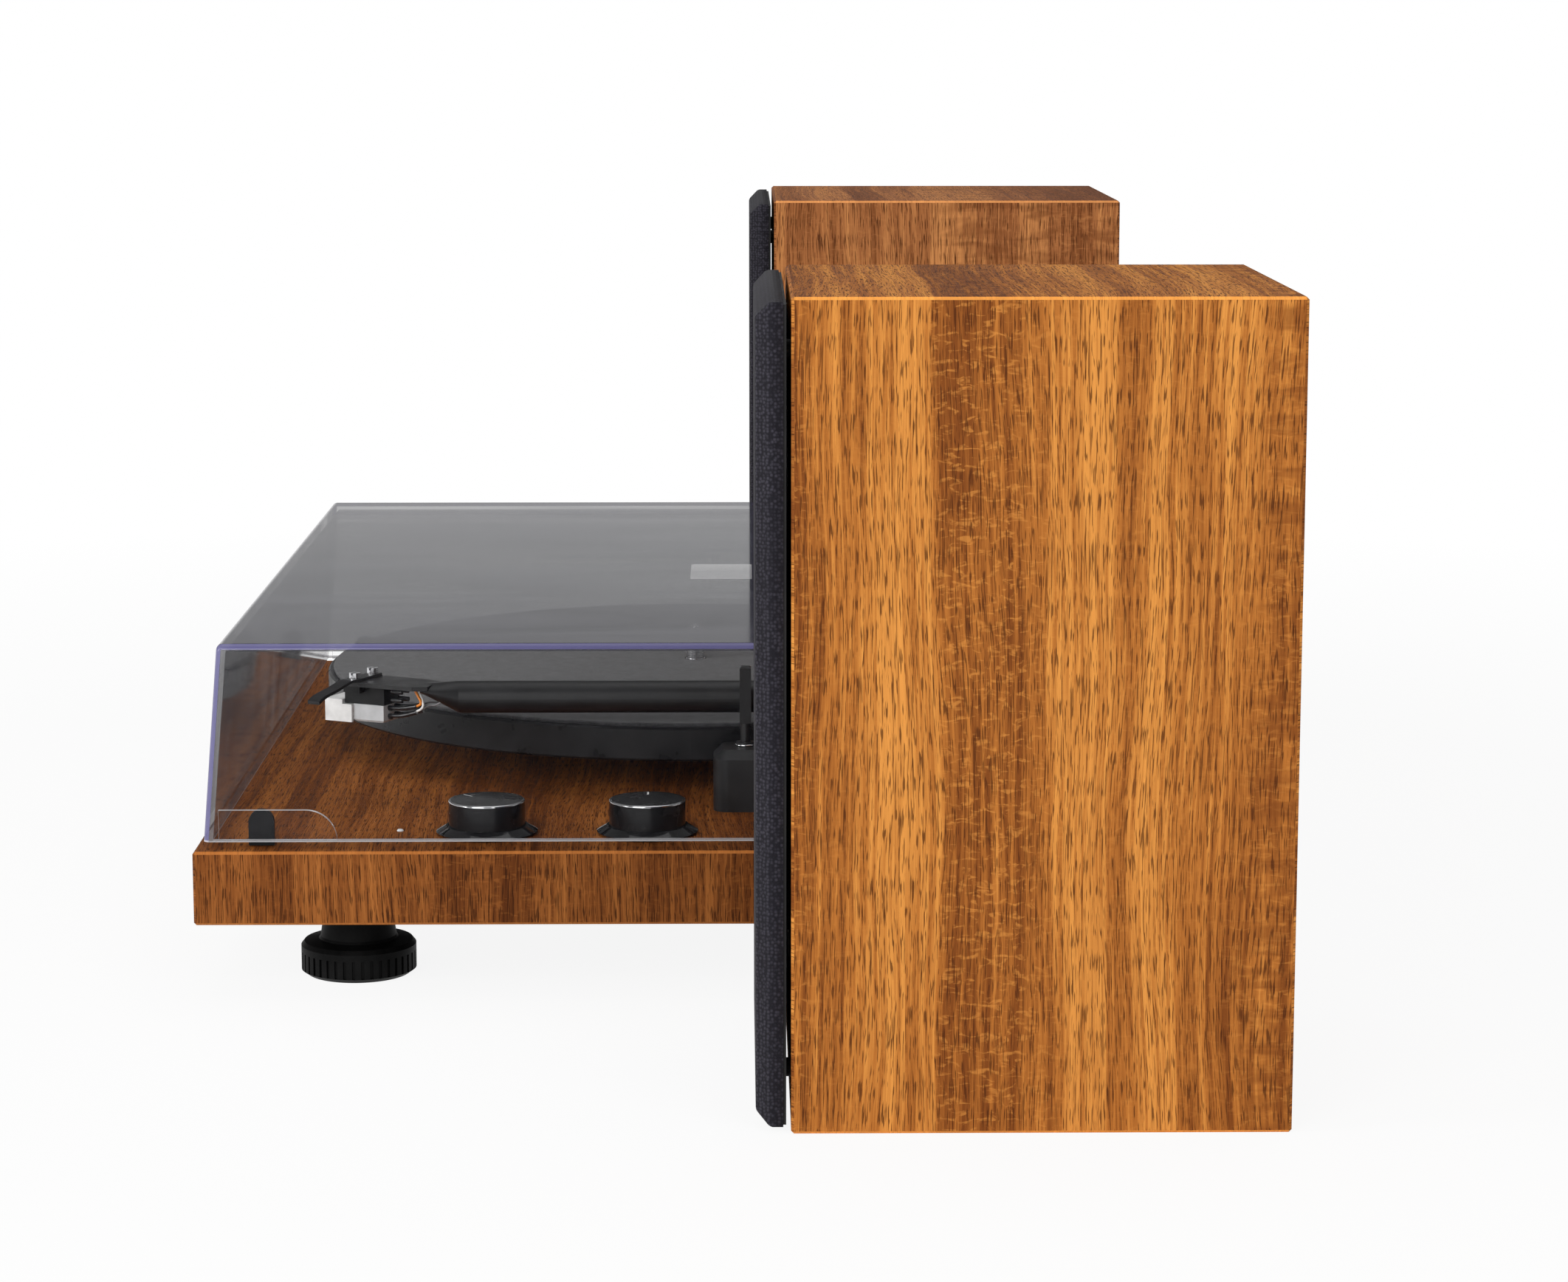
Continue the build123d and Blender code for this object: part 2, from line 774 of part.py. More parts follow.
# Rubber bumpers with round tops, stuck inside the strips, just clear of the deck
bumper_y = front_y + bumper_from_front
bumper_top_z = cover_bottom_z + bumper_height
with BuildPart() as cover_bumpers:
    for side in (1, -1):
        bumper_x = cover_inner_x - tab_thickness
        bumper_x = bumper_x if side > 0 else -bumper_x + bumper_thickness
        with BuildSketch(Plane.YZ.offset(bumper_x)):
            with Locations((bumper_y, bumper_top_z - bumper_width / 2)):
                Circle(bumper_width / 2)
            with BuildLine():
                Polyline(
                    (bumper_y - bumper_width / 2, deck_z + slip),
                    (bumper_y + bumper_width / 2, deck_z + slip),
                    (bumper_y + bumper_width / 2, bumper_top_z - bumper_width / 2),
                    (bumper_y - bumper_width / 2, bumper_top_z - bumper_width / 2),
                    close=True,
                )
            make_face()
        extrude(amount=-bumper_thickness)
save(cover_bumpers, "cover_bumpers")

# Cover hinges: a leaf on the plinth's rear face, one on the cover, and a pin in their barrels
hinge_xs = [-hinge_spread / 2, hinge_spread / 2]
hinge_y = plinth_rear_y + hinge_reach
hinge_z = cover_bottom_z
knuckle_width = hinge_width / 3
lower_top_z = hinge_z - hinge_barrel_radius - 1
upper_bottom_z = hinge_z + hinge_barrel_radius + 1.5
with BuildPart() as hinge_brackets:
    for hinge_x in hinge_xs:
        with BuildSketch(Plane.XZ.offset(-plinth_rear_y - hinge_leaf)):
            with Locations((hinge_x, lower_top_z - hinge_lower_length / 2)):
                Rectangle(hinge_width, hinge_lower_length)
        extrude(amount=hinge_leaf)
        for knuckle_x in (hinge_x - hinge_width / 2, hinge_x + knuckle_width / 2):
            with BuildSketch(Plane.YZ.offset(knuckle_x)):
                with Locations((hinge_y, hinge_z)):
                    Circle(hinge_barrel_radius)
                with BuildLine():
                    Polyline(
                        (plinth_rear_y, lower_top_z - 2),
                        (plinth_rear_y + hinge_leaf, lower_top_z - 2),
                        (hinge_y + hinge_barrel_radius, hinge_z),
                        (plinth_rear_y + 0.6, hinge_z),
                        (plinth_rear_y, hinge_z - 3),
                        close=True,
                    )
                make_face()
                with Locations((hinge_y, hinge_z)):
                    Circle(hinge_pin_radius, mode=Mode.SUBTRACT)
            extrude(amount=knuckle_width)
save(hinge_brackets, "hinge_brackets")

with BuildPart() as cover_hinge_leaves:
    for hinge_x in hinge_xs:
        with BuildSketch(Plane.XZ.offset(-cover_rear_y - hinge_leaf)):
            with Locations((hinge_x, upper_bottom_z + hinge_upper_length / 2)):
                Rectangle(hinge_width, hinge_upper_length)
        extrude(amount=hinge_leaf)
        with BuildSketch(Plane.YZ.offset(hinge_x - knuckle_width / 2 + slip)):
            with Locations((hinge_y, hinge_z)):
                Circle(hinge_barrel_radius)
            with BuildLine():
                Polyline(
                    (cover_rear_y, hinge_z + 0.5),
                    (hinge_y, hinge_z + 0.5),
                    (hinge_y + 1, hinge_z + hinge_barrel_radius - 1),
                    (cover_rear_y + hinge_leaf, upper_bottom_z + 3),
                    (cover_rear_y, upper_bottom_z + 3),
                    close=True,
                )
            make_face()
            with Locations((hinge_y, hinge_z)):
                Circle(hinge_pin_radius + running, mode=Mode.SUBTRACT)
        extrude(amount=knuckle_width - 2 * slip)
save(cover_hinge_leaves, "cover_hinge_leaves")

with BuildPart() as hinge_pins:
    for hinge_x in hinge_xs:
        with BuildSketch(Plane.YZ.offset(hinge_x - hinge_width / 2)):
            with Locations((hinge_y, hinge_z)):
                Circle(hinge_pin_radius)
        extrude(amount=hinge_width)
save(hinge_pins, "hinge_pins")

# Arm base: a bevelled bar on the deck that widens to a turret under the arm's pivot
base_right_x = side_x - base_from_side
base_front_y = front_y + base_from_front
base_x = base_right_x - base_width / 2
base_y = base_front_y + base_length / 2
post_x = side_x - post_from_side
post_y = front_y + post_from_front
piston_x = arm_x + lift_piston_x
piston_y = arm_y - sqrt(lift_radius**2 - lift_piston_x**2)
lever_y = front_y + lever_from_front
lever_z = deck_z + lever_height
dial_x = base_right_x - dial_from_base_side
dial_y = base_front_y + dial_from_base_front
base_top_z = deck_z + base_height
turret_top_z = deck_z + turret_height
pillar_top_z = base_top_z + 0.6 + yoke_base_height - 0.4
with BuildPart() as arm_base:
    with BuildSketch(Plane.XY.offset(deck_z)):
        with Locations((base_x, base_y)):
            RectangleRounded(base_width, base_length, base_corner)
    extrude(amount=base_height)
    chamfer(arm_base.faces().sort_by(Axis.Z)[-1].edges(), base_bevel)
    with BuildSketch(Plane.XY.offset(deck_z)):
        with Locations((arm_x, arm_y)):
            Circle(turret_radius)
    extrude(amount=turret_height)
    with BuildSketch(Plane.XY.offset(deck_z)):
        with Locations((arm_x, arm_y)):
            Circle(column_radius)
    extrude(amount=base_height)
    with BuildSketch(Plane.XY.offset(turret_top_z)):
        with Locations((arm_x, arm_y)):
            Circle(pillar_radius + slip)
    extrude(amount=base_height, mode=Mode.SUBTRACT)
    with BuildSketch(Plane.XY.offset(base_top_z - lift_piston_depth)):
        with Locations((piston_x, piston_y)):
            Circle(lift_piston_radius + running)
    extrude(amount=base_height, mode=Mode.SUBTRACT)
    with BuildSketch(Plane.XY.offset(base_top_z - dial_stem_length)):
        with Locations((dial_x, dial_y)):
            Circle(dial_stem_radius + running)
    extrude(amount=base_height, mode=Mode.SUBTRACT)
    with BuildSketch(Plane.YZ.offset(base_right_x - lever_shaft_length)):
        with Locations((lever_y, lever_z)):
            Circle(lever_shaft_radius + running)
    extrude(amount=2 * lever_shaft_length, mode=Mode.SUBTRACT)
save(arm_base, "arm_base")

with BuildPart() as arm_pillar:
    with BuildSketch(Plane.XY.offset(turret_top_z)):
        with Locations((arm_x, arm_y)):
            Circle(pillar_radius)
    extrude(amount=pillar_top_z - turret_top_z)
    chamfer(arm_pillar.edges().group_by(Axis.Z)[-1], 0.6)
save(arm_pillar, "arm_pillar")

# Arm rest: a stem, a ledge under the tube and an upright stop beside it
ledge_top_z = arm_z - arm_tube_radius - 0.4
ledge_left_x = arm_x - arm_tube_radius
post_right_x = post_x + post_width / 2
with BuildPart() as arm_rest:
    with BuildSketch(Plane.XY.offset(base_top_z)):
        with Locations((post_x, post_y)):
            Circle(post_stem_radius)
    extrude(amount=ledge_top_z - rest_ledge - base_top_z)
    with BuildSketch(Plane.XY.offset(ledge_top_z - rest_ledge)):
        with Locations(((ledge_left_x + post_right_x) / 2, post_y)):
            Rectangle(post_right_x - ledge_left_x, post_width)
    extrude(amount=rest_ledge)
    with BuildSketch(Plane.XY.offset(ledge_top_z)):
        with Locations((post_x, post_y)):
            Rectangle(post_width, post_width)
    extrude(amount=deck_z + post_height - ledge_top_z)
    chamfer(arm_rest.faces().sort_by(Axis.Z)[-1].edges(), 0.5)
    with BuildSketch(Plane.XY.offset(base_top_z)):
        with Locations((post_x, post_y)):
            Circle(post_stem_radius + 1.6)
    extrude(amount=1.4)
save(arm_rest, "arm_rest")

# Yoke: a ring on the pillar with two cheeks that hold the arm's pivot pins
yoke_bottom_z = base_top_z + 0.6
yoke_top_z = yoke_bottom_z + yoke_base_height
yoke_inner = arm_block_width / 2 + 0.5
yoke_outer = yoke_inner + yoke_wall
with BuildPart() as arm_yoke:
    with BuildSketch(Plane.XY.offset(yoke_bottom_z)):
        with Locations((arm_x, arm_y)):
            Circle(yoke_outer)
    extrude(amount=yoke_base_height)
    with BuildSketch(Plane.XY.offset(yoke_top_z)):
        for side in (1, -1):
            with Locations((arm_x + side * (yoke_inner + yoke_wall / 2), arm_y)):
                Rectangle(yoke_wall, yoke_length)
    extrude(amount=arm_z + yoke_length / 2 - yoke_top_z)
    yoke_crowns = arm_yoke.edges().filter_by(Axis.X).group_by(Axis.Z)[-1]
    fillet(yoke_crowns, yoke_length / 2 - 0.6)
    with BuildSketch(Plane.XY.offset(yoke_bottom_z)):
        with Locations((arm_x, arm_y)):
            Circle(pillar_radius + running)
    extrude(amount=yoke_base_height, mode=Mode.SUBTRACT)
    with BuildSketch(Plane.YZ.offset(arm_x - yoke_outer)):
        with Locations((arm_y, arm_z)):
            Circle(arm_pin_radius + running)
    extrude(amount=2 * yoke_outer, mode=Mode.SUBTRACT)
save(arm_yoke, "arm_yoke")

# Pivot block of the arm: it holds the tube, the pins and the counterweight's stub
tube_seat = 7.0
block_front_y = arm_y - arm_block_length / 2
block_rear_y = arm_y + arm_block_length / 2
with BuildPart() as arm_block:
    with BuildSketch(Plane.XZ.offset(-block_rear_y)):
        with Locations((arm_x, arm_z)):
            RectangleRounded(arm_block_width, arm_block_height, 3)
    extrude(amount=arm_block_length)
    with BuildSketch(Plane.YZ.offset(arm_x - yoke_outer + 0.5)):
        with Locations((arm_y, arm_z)):
            Circle(arm_pin_radius)
    extrude(amount=2 * yoke_outer - 1)
    with BuildSketch(Plane.XZ.offset(-block_rear_y - weight_stub_length)):
        with Locations((arm_x, arm_z)):
            Circle(weight_stub_radius)
    extrude(amount=weight_stub_length)
    with BuildSketch(Plane.XZ.offset(-block_front_y - tube_seat)):
        with Locations((arm_x, arm_z)):
            Circle(arm_tube_radius)
    extrude(amount=tube_seat, mode=Mode.SUBTRACT)
save(arm_block, "arm_block")

# Arm tube: straight and hollow, lofted at its front end into the angled head plate
taper_rear_y = arm_y - head_from_pivot + head_taper
head_y = arm_y - head_from_pivot
head_top_z = arm_z + arm_tube_radius - head_drop
head_bottom_z = head_top_z - head_plate
head_turn = radians(head_angle)
head_forward = Vector(-sin(head_turn), -cos(head_turn), 0)
head_right = Vector(cos(head_turn), -sin(head_turn), 0)
head_base = Plane(origin=(arm_x, head_y, 0), x_dir=head_forward, z_dir=(0, 0, 1))
with BuildPart() as arm_tube:
    with BuildSketch(Plane.XZ.offset(-block_front_y - tube_seat)):
        with Locations((arm_x, arm_z)):
            Circle(arm_tube_radius)
    extrude(amount=block_front_y + tube_seat - taper_rear_y)
    with BuildSketch(Plane.XZ.offset(-taper_rear_y)):
        with Locations((arm_x, arm_z)):
            Circle(arm_tube_radius)
    with BuildSketch(Plane.XZ.offset(-head_y)):
        with Locations((arm_x, head_top_z - head_plate)):
            Ellipse(head_width / 2 - 1, head_plate)
    loft()
    with BuildSketch(head_base.offset(head_bottom_z)):
        with BuildLine():
            Polyline(
                (-4, -head_width / 2 + 2),
                (4, -head_width / 2),
                (head_length - 3, -head_width / 2),
                (head_length, -head_width / 2 + 3),
                (head_length, head_width / 2 - 3),
                (head_length - 3, head_width / 2),
                (-1, head_width / 2),
                (-6, head_width / 2 - 3),
                close=True,
            )
        make_face()
    extrude(amount=head_plate)
    with BuildSketch(Plane.XZ.offset(-block_front_y - tube_seat)):
        with Locations((arm_x, arm_z)):
            Circle(arm_tube_radius - arm_tube_wall)
    extrude(amount=block_front_y + tube_seat - taper_rear_y - 2, mode=Mode.SUBTRACT)
    with BuildSketch(head_base.offset(head_bottom_z - 3)):
        with Locations((head_screws_along, 0)):
            with GridLocations(0, head_screw_spacing, 1, 2):
                Circle(head_screw_radius)
    extrude(amount=head_plate + 6, mode=Mode.SUBTRACT)
save(arm_tube, "arm_tube")

# Finger lift: a strip under the screw heads that curls down beside the head
lift_top_z = head_top_z + lift_thickness
with BuildPart() as finger_lift:
    with BuildSketch(
        Plane(
            origin=(
                arm_x + head_forward.X * (head_screws_along - lift_width / 2),
                head_y + head_forward.Y * (head_screws_along - lift_width / 2),
                head_top_z,
            ),
            x_dir=head_right,
            z_dir=head_forward,
        )
    ):
        with BuildLine():
            edge_v = head_width / 2
            Line((-edge_v, 0), (edge_v, 0))
            Spline(
                (edge_v, 0),
                (edge_v + lift_reach * 0.45, -lift_drop * 0.4),
                (edge_v + lift_reach, -lift_drop - 1.2),
                tangents=((1, 0.25), (1, -0.55)),
            )
            Line(
                (edge_v + lift_reach, -lift_drop - 1.2),
                (edge_v + lift_reach + 0.4, -lift_drop),
            )
            Spline(
                (edge_v + lift_reach + 0.4, -lift_drop),
                (edge_v + lift_reach * 0.45 + 0.3, lift_thickness - lift_drop * 0.38),
                (edge_v, lift_thickness),
                tangents=((-1, 0.55), (-1, -0.25)),
            )
            Line((edge_v, lift_thickness), (-edge_v, lift_thickness))
            Line((-edge_v, lift_thickness), (-edge_v, 0))
        make_face()
    extrude(amount=lift_width)
    with BuildSketch(head_base.offset(head_top_z - 1)):
        with Locations((head_screws_along, 0)):
            with GridLocations(0, head_screw_spacing, 1, 2):
                Circle(head_screw_radius)
    extrude(amount=lift_thickness + 2, mode=Mode.SUBTRACT)
save(finger_lift, "finger_lift")

# Cartridge body with its mounting ears, and the stylus holder below it
cartridge_bottom_z = head_bottom_z - cartridge_height
pin_middle_z = cartridge_bottom_z + 3.4
ear_height = 2.4
with BuildPart() as cartridge:
    with BuildSketch(head_base.offset(cartridge_bottom_z)):
        with Locations((cartridge_rear + cartridge_length / 2, 0)):
            Rectangle(cartridge_length, cartridge_width - 4)
    extrude(amount=cartridge_height)
    with BuildSketch(head_base.offset(head_bottom_z - ear_height)):
        with Locations((head_screws_along, 0)):
            Rectangle(7, head_screw_spacing + 5)
    extrude(amount=ear_height)
    with BuildSketch(head_base.offset(head_bottom_z - ear_height)):
        with Locations((head_screws_along, 0)):
            with GridLocations(0, head_screw_spacing, 1, 2):
                Circle(head_screw_radius)
    extrude(amount=ear_height, mode=Mode.SUBTRACT)
    with BuildSketch(Plane(
        origin=head_base.from_local_coords((cartridge_rear, 0, cartridge_bottom_z)),
        x_dir=head_right,
        z_dir=-head_forward,
    )):
        with Locations((0, pin_middle_z - cartridge_bottom_z)):
            with GridLocations(4.6, 3.2, 2, 2):
                Circle(0.45)
    extrude(amount=1.5)
save(cartridge, "cartridge")

holder_bottom_z = cartridge_bottom_z - holder_height
cantilever_radius = 0.35
with BuildPart() as stylus_holder:
    with BuildSketch(head_base.offset(holder_bottom_z)):
        with Locations((cartridge_rear + holder_length / 2, 0)):
            Rectangle(holder_length, holder_width)
    extrude(amount=holder_height)
    holder_low_rear = stylus_holder.edges().group_by(Axis.Z)[0]
    chamfer(holder_low_rear, 0.8)
    with BuildSketch(Plane(
        origin=head_base.from_local_coords(
            (cartridge_rear + holder_length - 1, 0, holder_bottom_z + 2.4)
        ),
        x_dir=head_right,
        z_dir=head_forward,
    )):
        Circle(cantilever_radius)
    extrude(amount=8)
    with BuildSketch(head_base.offset(holder_bottom_z + 0.4)):
        with Locations((cartridge_rear + holder_length + 6.4, 0)):
            Circle(cantilever_radius * 0.8)
    extrude(amount=2.2)
save(stylus_holder, "stylus_holder")

# Stylus guard: a white hood round the cantilever, open behind and below
guard_top_z = cartridge_bottom_z + guard_lap
guard_bottom_z = guard_top_z - guard_height
guard_rear = cartridge_rear + holder_length + slip
cartridge_front = cartridge_rear + cartridge_length
with BuildPart() as stylus_guard:
    with BuildSketch(head_base.offset(guard_bottom_z)):
        with Locations((guard_rear + guard_length / 2, 0)):
            Rectangle(guard_length, guard_width)
    extrude(amount=guard_height)
    with BuildSketch(head_base.offset(guard_bottom_z)):
        with Locations((guard_rear + (guard_length - guard_wall) / 2, 0)):
            Rectangle(guard_length - guard_wall, guard_width - 2 * guard_wall)
    extrude(amount=cartridge_bottom_z - slip - guard_wall - guard_bottom_z, mode=Mode.SUBTRACT)
    with BuildSketch(head_base.offset(cartridge_bottom_z - slip)):
        with Locations(((guard_rear + cartridge_front + slip) / 2, 0)):
            Rectangle(cartridge_front + slip - guard_rear, guard_width + 2)
    extrude(amount=guard_height, mode=Mode.SUBTRACT)
save(stylus_guard, "stylus_guard")

# Slotted cartridge screws
with BuildPart() as headshell_screws:
    with BuildSketch(head_base.offset(head_bottom_z - ear_height)):
        with Locations((head_screws_along, 0)):
            with GridLocations(0, head_screw_spacing, 1, 2):
                Circle(head_screw_radius)
    extrude(amount=ear_height + head_plate + lift_thickness)
    with BuildSketch(head_base.offset(lift_top_z)):
        with Locations((head_screws_along, 0)):
            with GridLocations(0, head_screw_spacing, 1, 2):
                Circle(head_screw_head_radius)
    extrude(amount=head_screw_head_height)
    with BuildSketch(head_base.offset(lift_top_z + head_screw_head_height - 0.8)):
        with Locations((head_screws_along, 0)):
            with GridLocations(0, head_screw_spacing, 1, 2):
                Rectangle(0.7, 2 * head_screw_head_radius)
    extrude(amount=1, mode=Mode.SUBTRACT)
save(headshell_screws, "headshell_screws")

# Cartridge leads: pins behind the cartridge, and thin wires up into the tube
lead_radius = 0.45
lead_spread = [-6.9, -2.3, 2.3, 6.9]
with BuildPart() as cartridge_wires:
    for n, spread in enumerate(lead_spread):
        pin_row = 1 if n % 2 else -1
        pin_point = head_base.from_local_coords(
            (cartridge_rear - 1.5, 2.3 * (1 if n > 1 else -1), pin_middle_z + 1.6 * pin_row)
        )
        with BuildSketch(Plane(origin=pin_point, x_dir=head_right, z_dir=-head_forward)):
            Circle(2 * lead_radius)
        extrude(amount=4.5)
save(cartridge_wires, "cartridge_wires")

# Counterweight with a grip groove and a scale ring, turning on the stub
weight_front_y = arm_y + weight_from_pivot
ring_length = 5.0
with BuildPart() as counterweight:
    with BuildSketch(Plane.XY.move(Location((arm_x, 0, arm_z)))):
        with BuildLine():
            Polyline(
                (weight_stub_radius + running, weight_front_y),
                (weight_radius - 3.5, weight_front_y),
                (weight_radius - 2, weight_front_y + ring_length),
                (weight_radius - 1, weight_front_y + ring_length),
                (weight_radius, weight_front_y + ring_length + 1),
                (weight_radius, weight_front_y + weight_length - 1),
                (weight_radius - 1, weight_front_y + weight_length),
                (weight_stub_radius + running, weight_front_y + weight_length),
                close=True,
            )
        make_face()
    revolve(axis=Axis((arm_x, 0, arm_z), (0, 1, 0)))
save(counterweight, "counterweight")

# Cue lift: a curved bar under the tube, centred on the arm's pivot, on a piston
lift_bar_top_z = arm_z - arm_tube_radius - 0.6
lift_bar_bottom_z = lift_bar_top_z - lift_bar_thickness
bar_start = -90 - lift_start_angle
with BuildPart() as cue_lift:
    with BuildSketch(Plane.XY.offset(lift_bar_bottom_z)):
        with BuildLine() as bar_path:
            CenterArc((arm_x, arm_y), lift_radius, bar_start, -lift_sweep)
        trace(line_width=lift_bar_width)
    extrude(amount=lift_bar_thickness)
    with BuildSketch(Plane.XY.offset(base_top_z - lift_piston_depth + slip)):
        with Locations((piston_x, piston_y)):
            Circle(lift_piston_radius)
    extrude(amount=lift_bar_bottom_z - base_top_z + lift_piston_depth - slip)
save(cue_lift, "cue_lift")

# Cue lever on the right side of the arm base
with BuildPart() as cue_lever:
    with BuildSketch(Plane.YZ.offset(base_right_x + slip)):
        with Locations((lever_y, lever_z)):
            Circle(lever_hub_radius)
        with BuildLine():
            Polyline(
                (lever_y, lever_z + lever_hub_radius),
                (lever_y - lever_length, lever_z + 2.6),
                (lever_y - lever_length, lever_z - 1.4),
                (lever_y, lever_z - lever_hub_radius),
                close=True,
            )
        make_face()
    extrude(amount=lever_thickness)
    with BuildSketch(Plane.YZ.offset(base_right_x - lever_shaft_length + slip)):
        with Locations((lever_y, lever_z)):
            Circle(lever_shaft_radius)
    extrude(amount=lever_shaft_length)
    with BuildSketch(Plane.YZ.offset(base_right_x + slip)):
        with Locations((lever_y - lever_length + 2, lever_z + 0.6)):
            RectangleRounded(8, 5, 1.5)
    extrude(amount=lever_thickness + 3)
save(cue_lever, "cue_lever")

# Anti-skate dial on the arm base
dial_grip_count = 12
with BuildPart() as anti_skate_dial:
    with BuildSketch(Plane.XY.offset(base_top_z + slip)):
        with Locations((dial_x, dial_y)):
            Circle(dial_radius)
            with PolarLocations(dial_radius + 0.3, dial_grip_count):
                Circle(0.6, mode=Mode.SUBTRACT)
    extrude(amount=dial_height)
    with BuildSketch(Plane.XY.offset(base_top_z - dial_stem_length + slip)):
        with Locations((dial_x, dial_y)):
            Circle(dial_stem_radius)
    extrude(amount=dial_stem_length)
save(anti_skate_dial, "anti_skate_dial")

# Rear panel of the player, with its sockets
panel_y = plinth_rear_y + panel_thickness
jack_xs = [-46.0, -32.0]
binding_xs = [8.0, 20.0, 34.0, 46.0]
inlet_x = -10.0
with BuildPart() as rear_panel:
    with BuildSketch(Plane.XZ.offset(-panel_y)):
        with Locations((0, panel_z)):
            RectangleRounded(panel_width, panel_height, 1.5)
        with Locations(*[(x, panel_z) for x in jack_xs + binding_xs]):
            Circle(jack_radius - 1, mode=Mode.SUBTRACT)
        with Locations((inlet_x, panel_z)):
            Rectangle(inlet_size, inlet_size, mode=Mode.SUBTRACT)
    extrude(amount=panel_thickness)
save(rear_panel, "rear_panel")

with BuildPart() as phono_jacks:
    with BuildSketch(Plane.XZ.offset(-panel_y + 9)):
        with Locations(*[(x, panel_z) for x in jack_xs]):
            Circle(jack_radius - 1)
    extrude(amount=-9)
    with BuildSketch(Plane.XZ.offset(-panel_y)):
        with Locations(*[(x, panel_z) for x in jack_xs]):
            Circle(jack_radius + 1.4)
    extrude(amount=-1)
    with BuildSketch(Plane.XZ.offset(-panel_y)):
        with Locations(*[(x, panel_z) for x in jack_xs]):
            Circle(jack_radius)
    extrude(amount=-jack_length)
    with BuildSketch(Plane.XZ.offset(-panel_y - jack_length)):
        with Locations(*[(x, panel_z) for x in jack_xs]):
            Circle(1.6)
    extrude(amount=jack_length - 1, mode=Mode.SUBTRACT)
save(phono_jacks, "phono_jacks")

with BuildPart() as speaker_posts:
    with BuildSketch(Plane.XZ.offset(-panel_y + 9)):
        with Locations(*[(x, panel_z) for x in binding_xs]):
            Circle(jack_radius - 1)
    extrude(amount=-9)
    with BuildSketch(Plane.XZ.offset(-panel_y)):
        with Locations(*[(x, panel_z) for x in binding_xs]):
            RegularPolygon(binding_radius, 12)
    extrude(amount=-binding_length)
    chamfer(speaker_posts.faces().group_by(Axis.Y)[-1].edges(), 0.6)
save(speaker_posts, "speaker_posts")

with BuildPart() as power_inlet:
    with BuildSketch(Plane.XZ.offset(-panel_y - 0.6)):
        with Locations((inlet_x, panel_z)):
            Rectangle(inlet_size, inlet_size)
    extrude(amount=13)
    with BuildSketch(Plane.XZ.offset(-panel_y - 0.6)):
        with Locations((inlet_x, panel_z)):
            Circle(2.75)
    extrude(amount=9, mode=Mode.SUBTRACT)
save(power_inlet, "power_inlet")

# Speakers, one on each side
speaker_front_y = front_y + speaker_setback
speaker_rear_y = speaker_front_y + speaker_depth
speaker_centre_x = side_x + speaker_gap + speaker_width / 2
speaker_xs = [speaker_centre_x, -speaker_centre_x]
speaker_names = ["right", "left"]
baffle_thickness = speaker_wall
baffle_width = speaker_width - 2 * speaker_wall
baffle_height = speaker_height - 2 * speaker_wall
speaker_mid_z = speaker_height / 2
tweeter_height = speaker_height - tweeter_from_top
port_height = speaker_height - port_from_top
peg_places_from_centre = [
    (sx * (speaker_width / 2 - 17), sz * (speaker_height / 2 - 17))
    for sx in (1, -1)
    for sz in (1, -1)
]
for speaker_x, speaker_name in zip(speaker_xs, speaker_names):
    with BuildPart() as cabinet:
        with BuildSketch(Plane.XZ.offset(-speaker_rear_y)):
            with Locations((speaker_x, speaker_mid_z)):
                Rectangle(speaker_width, speaker_height)
        extrude(amount=speaker_depth)
        chamfer(cabinet.edges(), speaker_edge)
        with BuildSketch(Plane.XZ.offset(-speaker_front_y)):
            with Locations((speaker_x, speaker_mid_z)):
                Rectangle(baffle_width, baffle_height)
        extrude(amount=-(speaker_depth - speaker_wall), mode=Mode.SUBTRACT)
        with BuildSketch(Plane.XZ.offset(-speaker_rear_y)):
            with Locations((speaker_x, cup_centre_height)):
                RectangleRounded(cup_width, cup_height, 4)
            with Locations((speaker_x, port_height)):
                Circle(port_flange_radius)
        extrude(amount=cup_plate, mode=Mode.SUBTRACT)
        with BuildSketch(Plane.XZ.offset(-speaker_rear_y)):
            with Locations((speaker_x, cup_centre_height)):
                RectangleRounded(cup_width - 2 * cup_flange, cup_height - 2 * cup_flange, 3)
            with Locations((speaker_x, port_height)):
                Circle(port_radius + port_wall)
        extrude(amount=speaker_wall, mode=Mode.SUBTRACT)
    save(cabinet, "cabinet_" + speaker_name)

with BuildPart() as speaker_baffles:
    for speaker_x in speaker_xs:
        with BuildSketch(Plane.XZ.offset(-speaker_front_y)):
            with Locations((speaker_x, speaker_mid_z)):
                Rectangle(baffle_width - 2 * seat, baffle_height - 2 * seat)
            with Locations((speaker_x, woofer_height)):
                Circle(woofer_cut_radius, mode=Mode.SUBTRACT)
            with Locations((speaker_x, tweeter_height)):
                Circle(tweeter_cut_radius, mode=Mode.SUBTRACT)
        extrude(amount=-baffle_thickness)
        with BuildSketch(Plane.XZ.offset(-speaker_front_y)):
            with Locations((speaker_x, woofer_height)):
                Circle(woofer_radius)
            with Locations((speaker_x, tweeter_height)):
                Circle(tweeter_radius)
        extrude(amount=-woofer_flange, mode=Mode.SUBTRACT)
        with BuildSketch(Plane.XZ.offset(-speaker_front_y)):
            with Locations(*[(speaker_x + x, speaker_mid_z + z) for x, z in peg_places_from_centre]):
                Circle(peg_radius + running)
        extrude(amount=-peg_length - 1, mode=Mode.SUBTRACT)
save(speaker_baffles, "speaker_baffles")

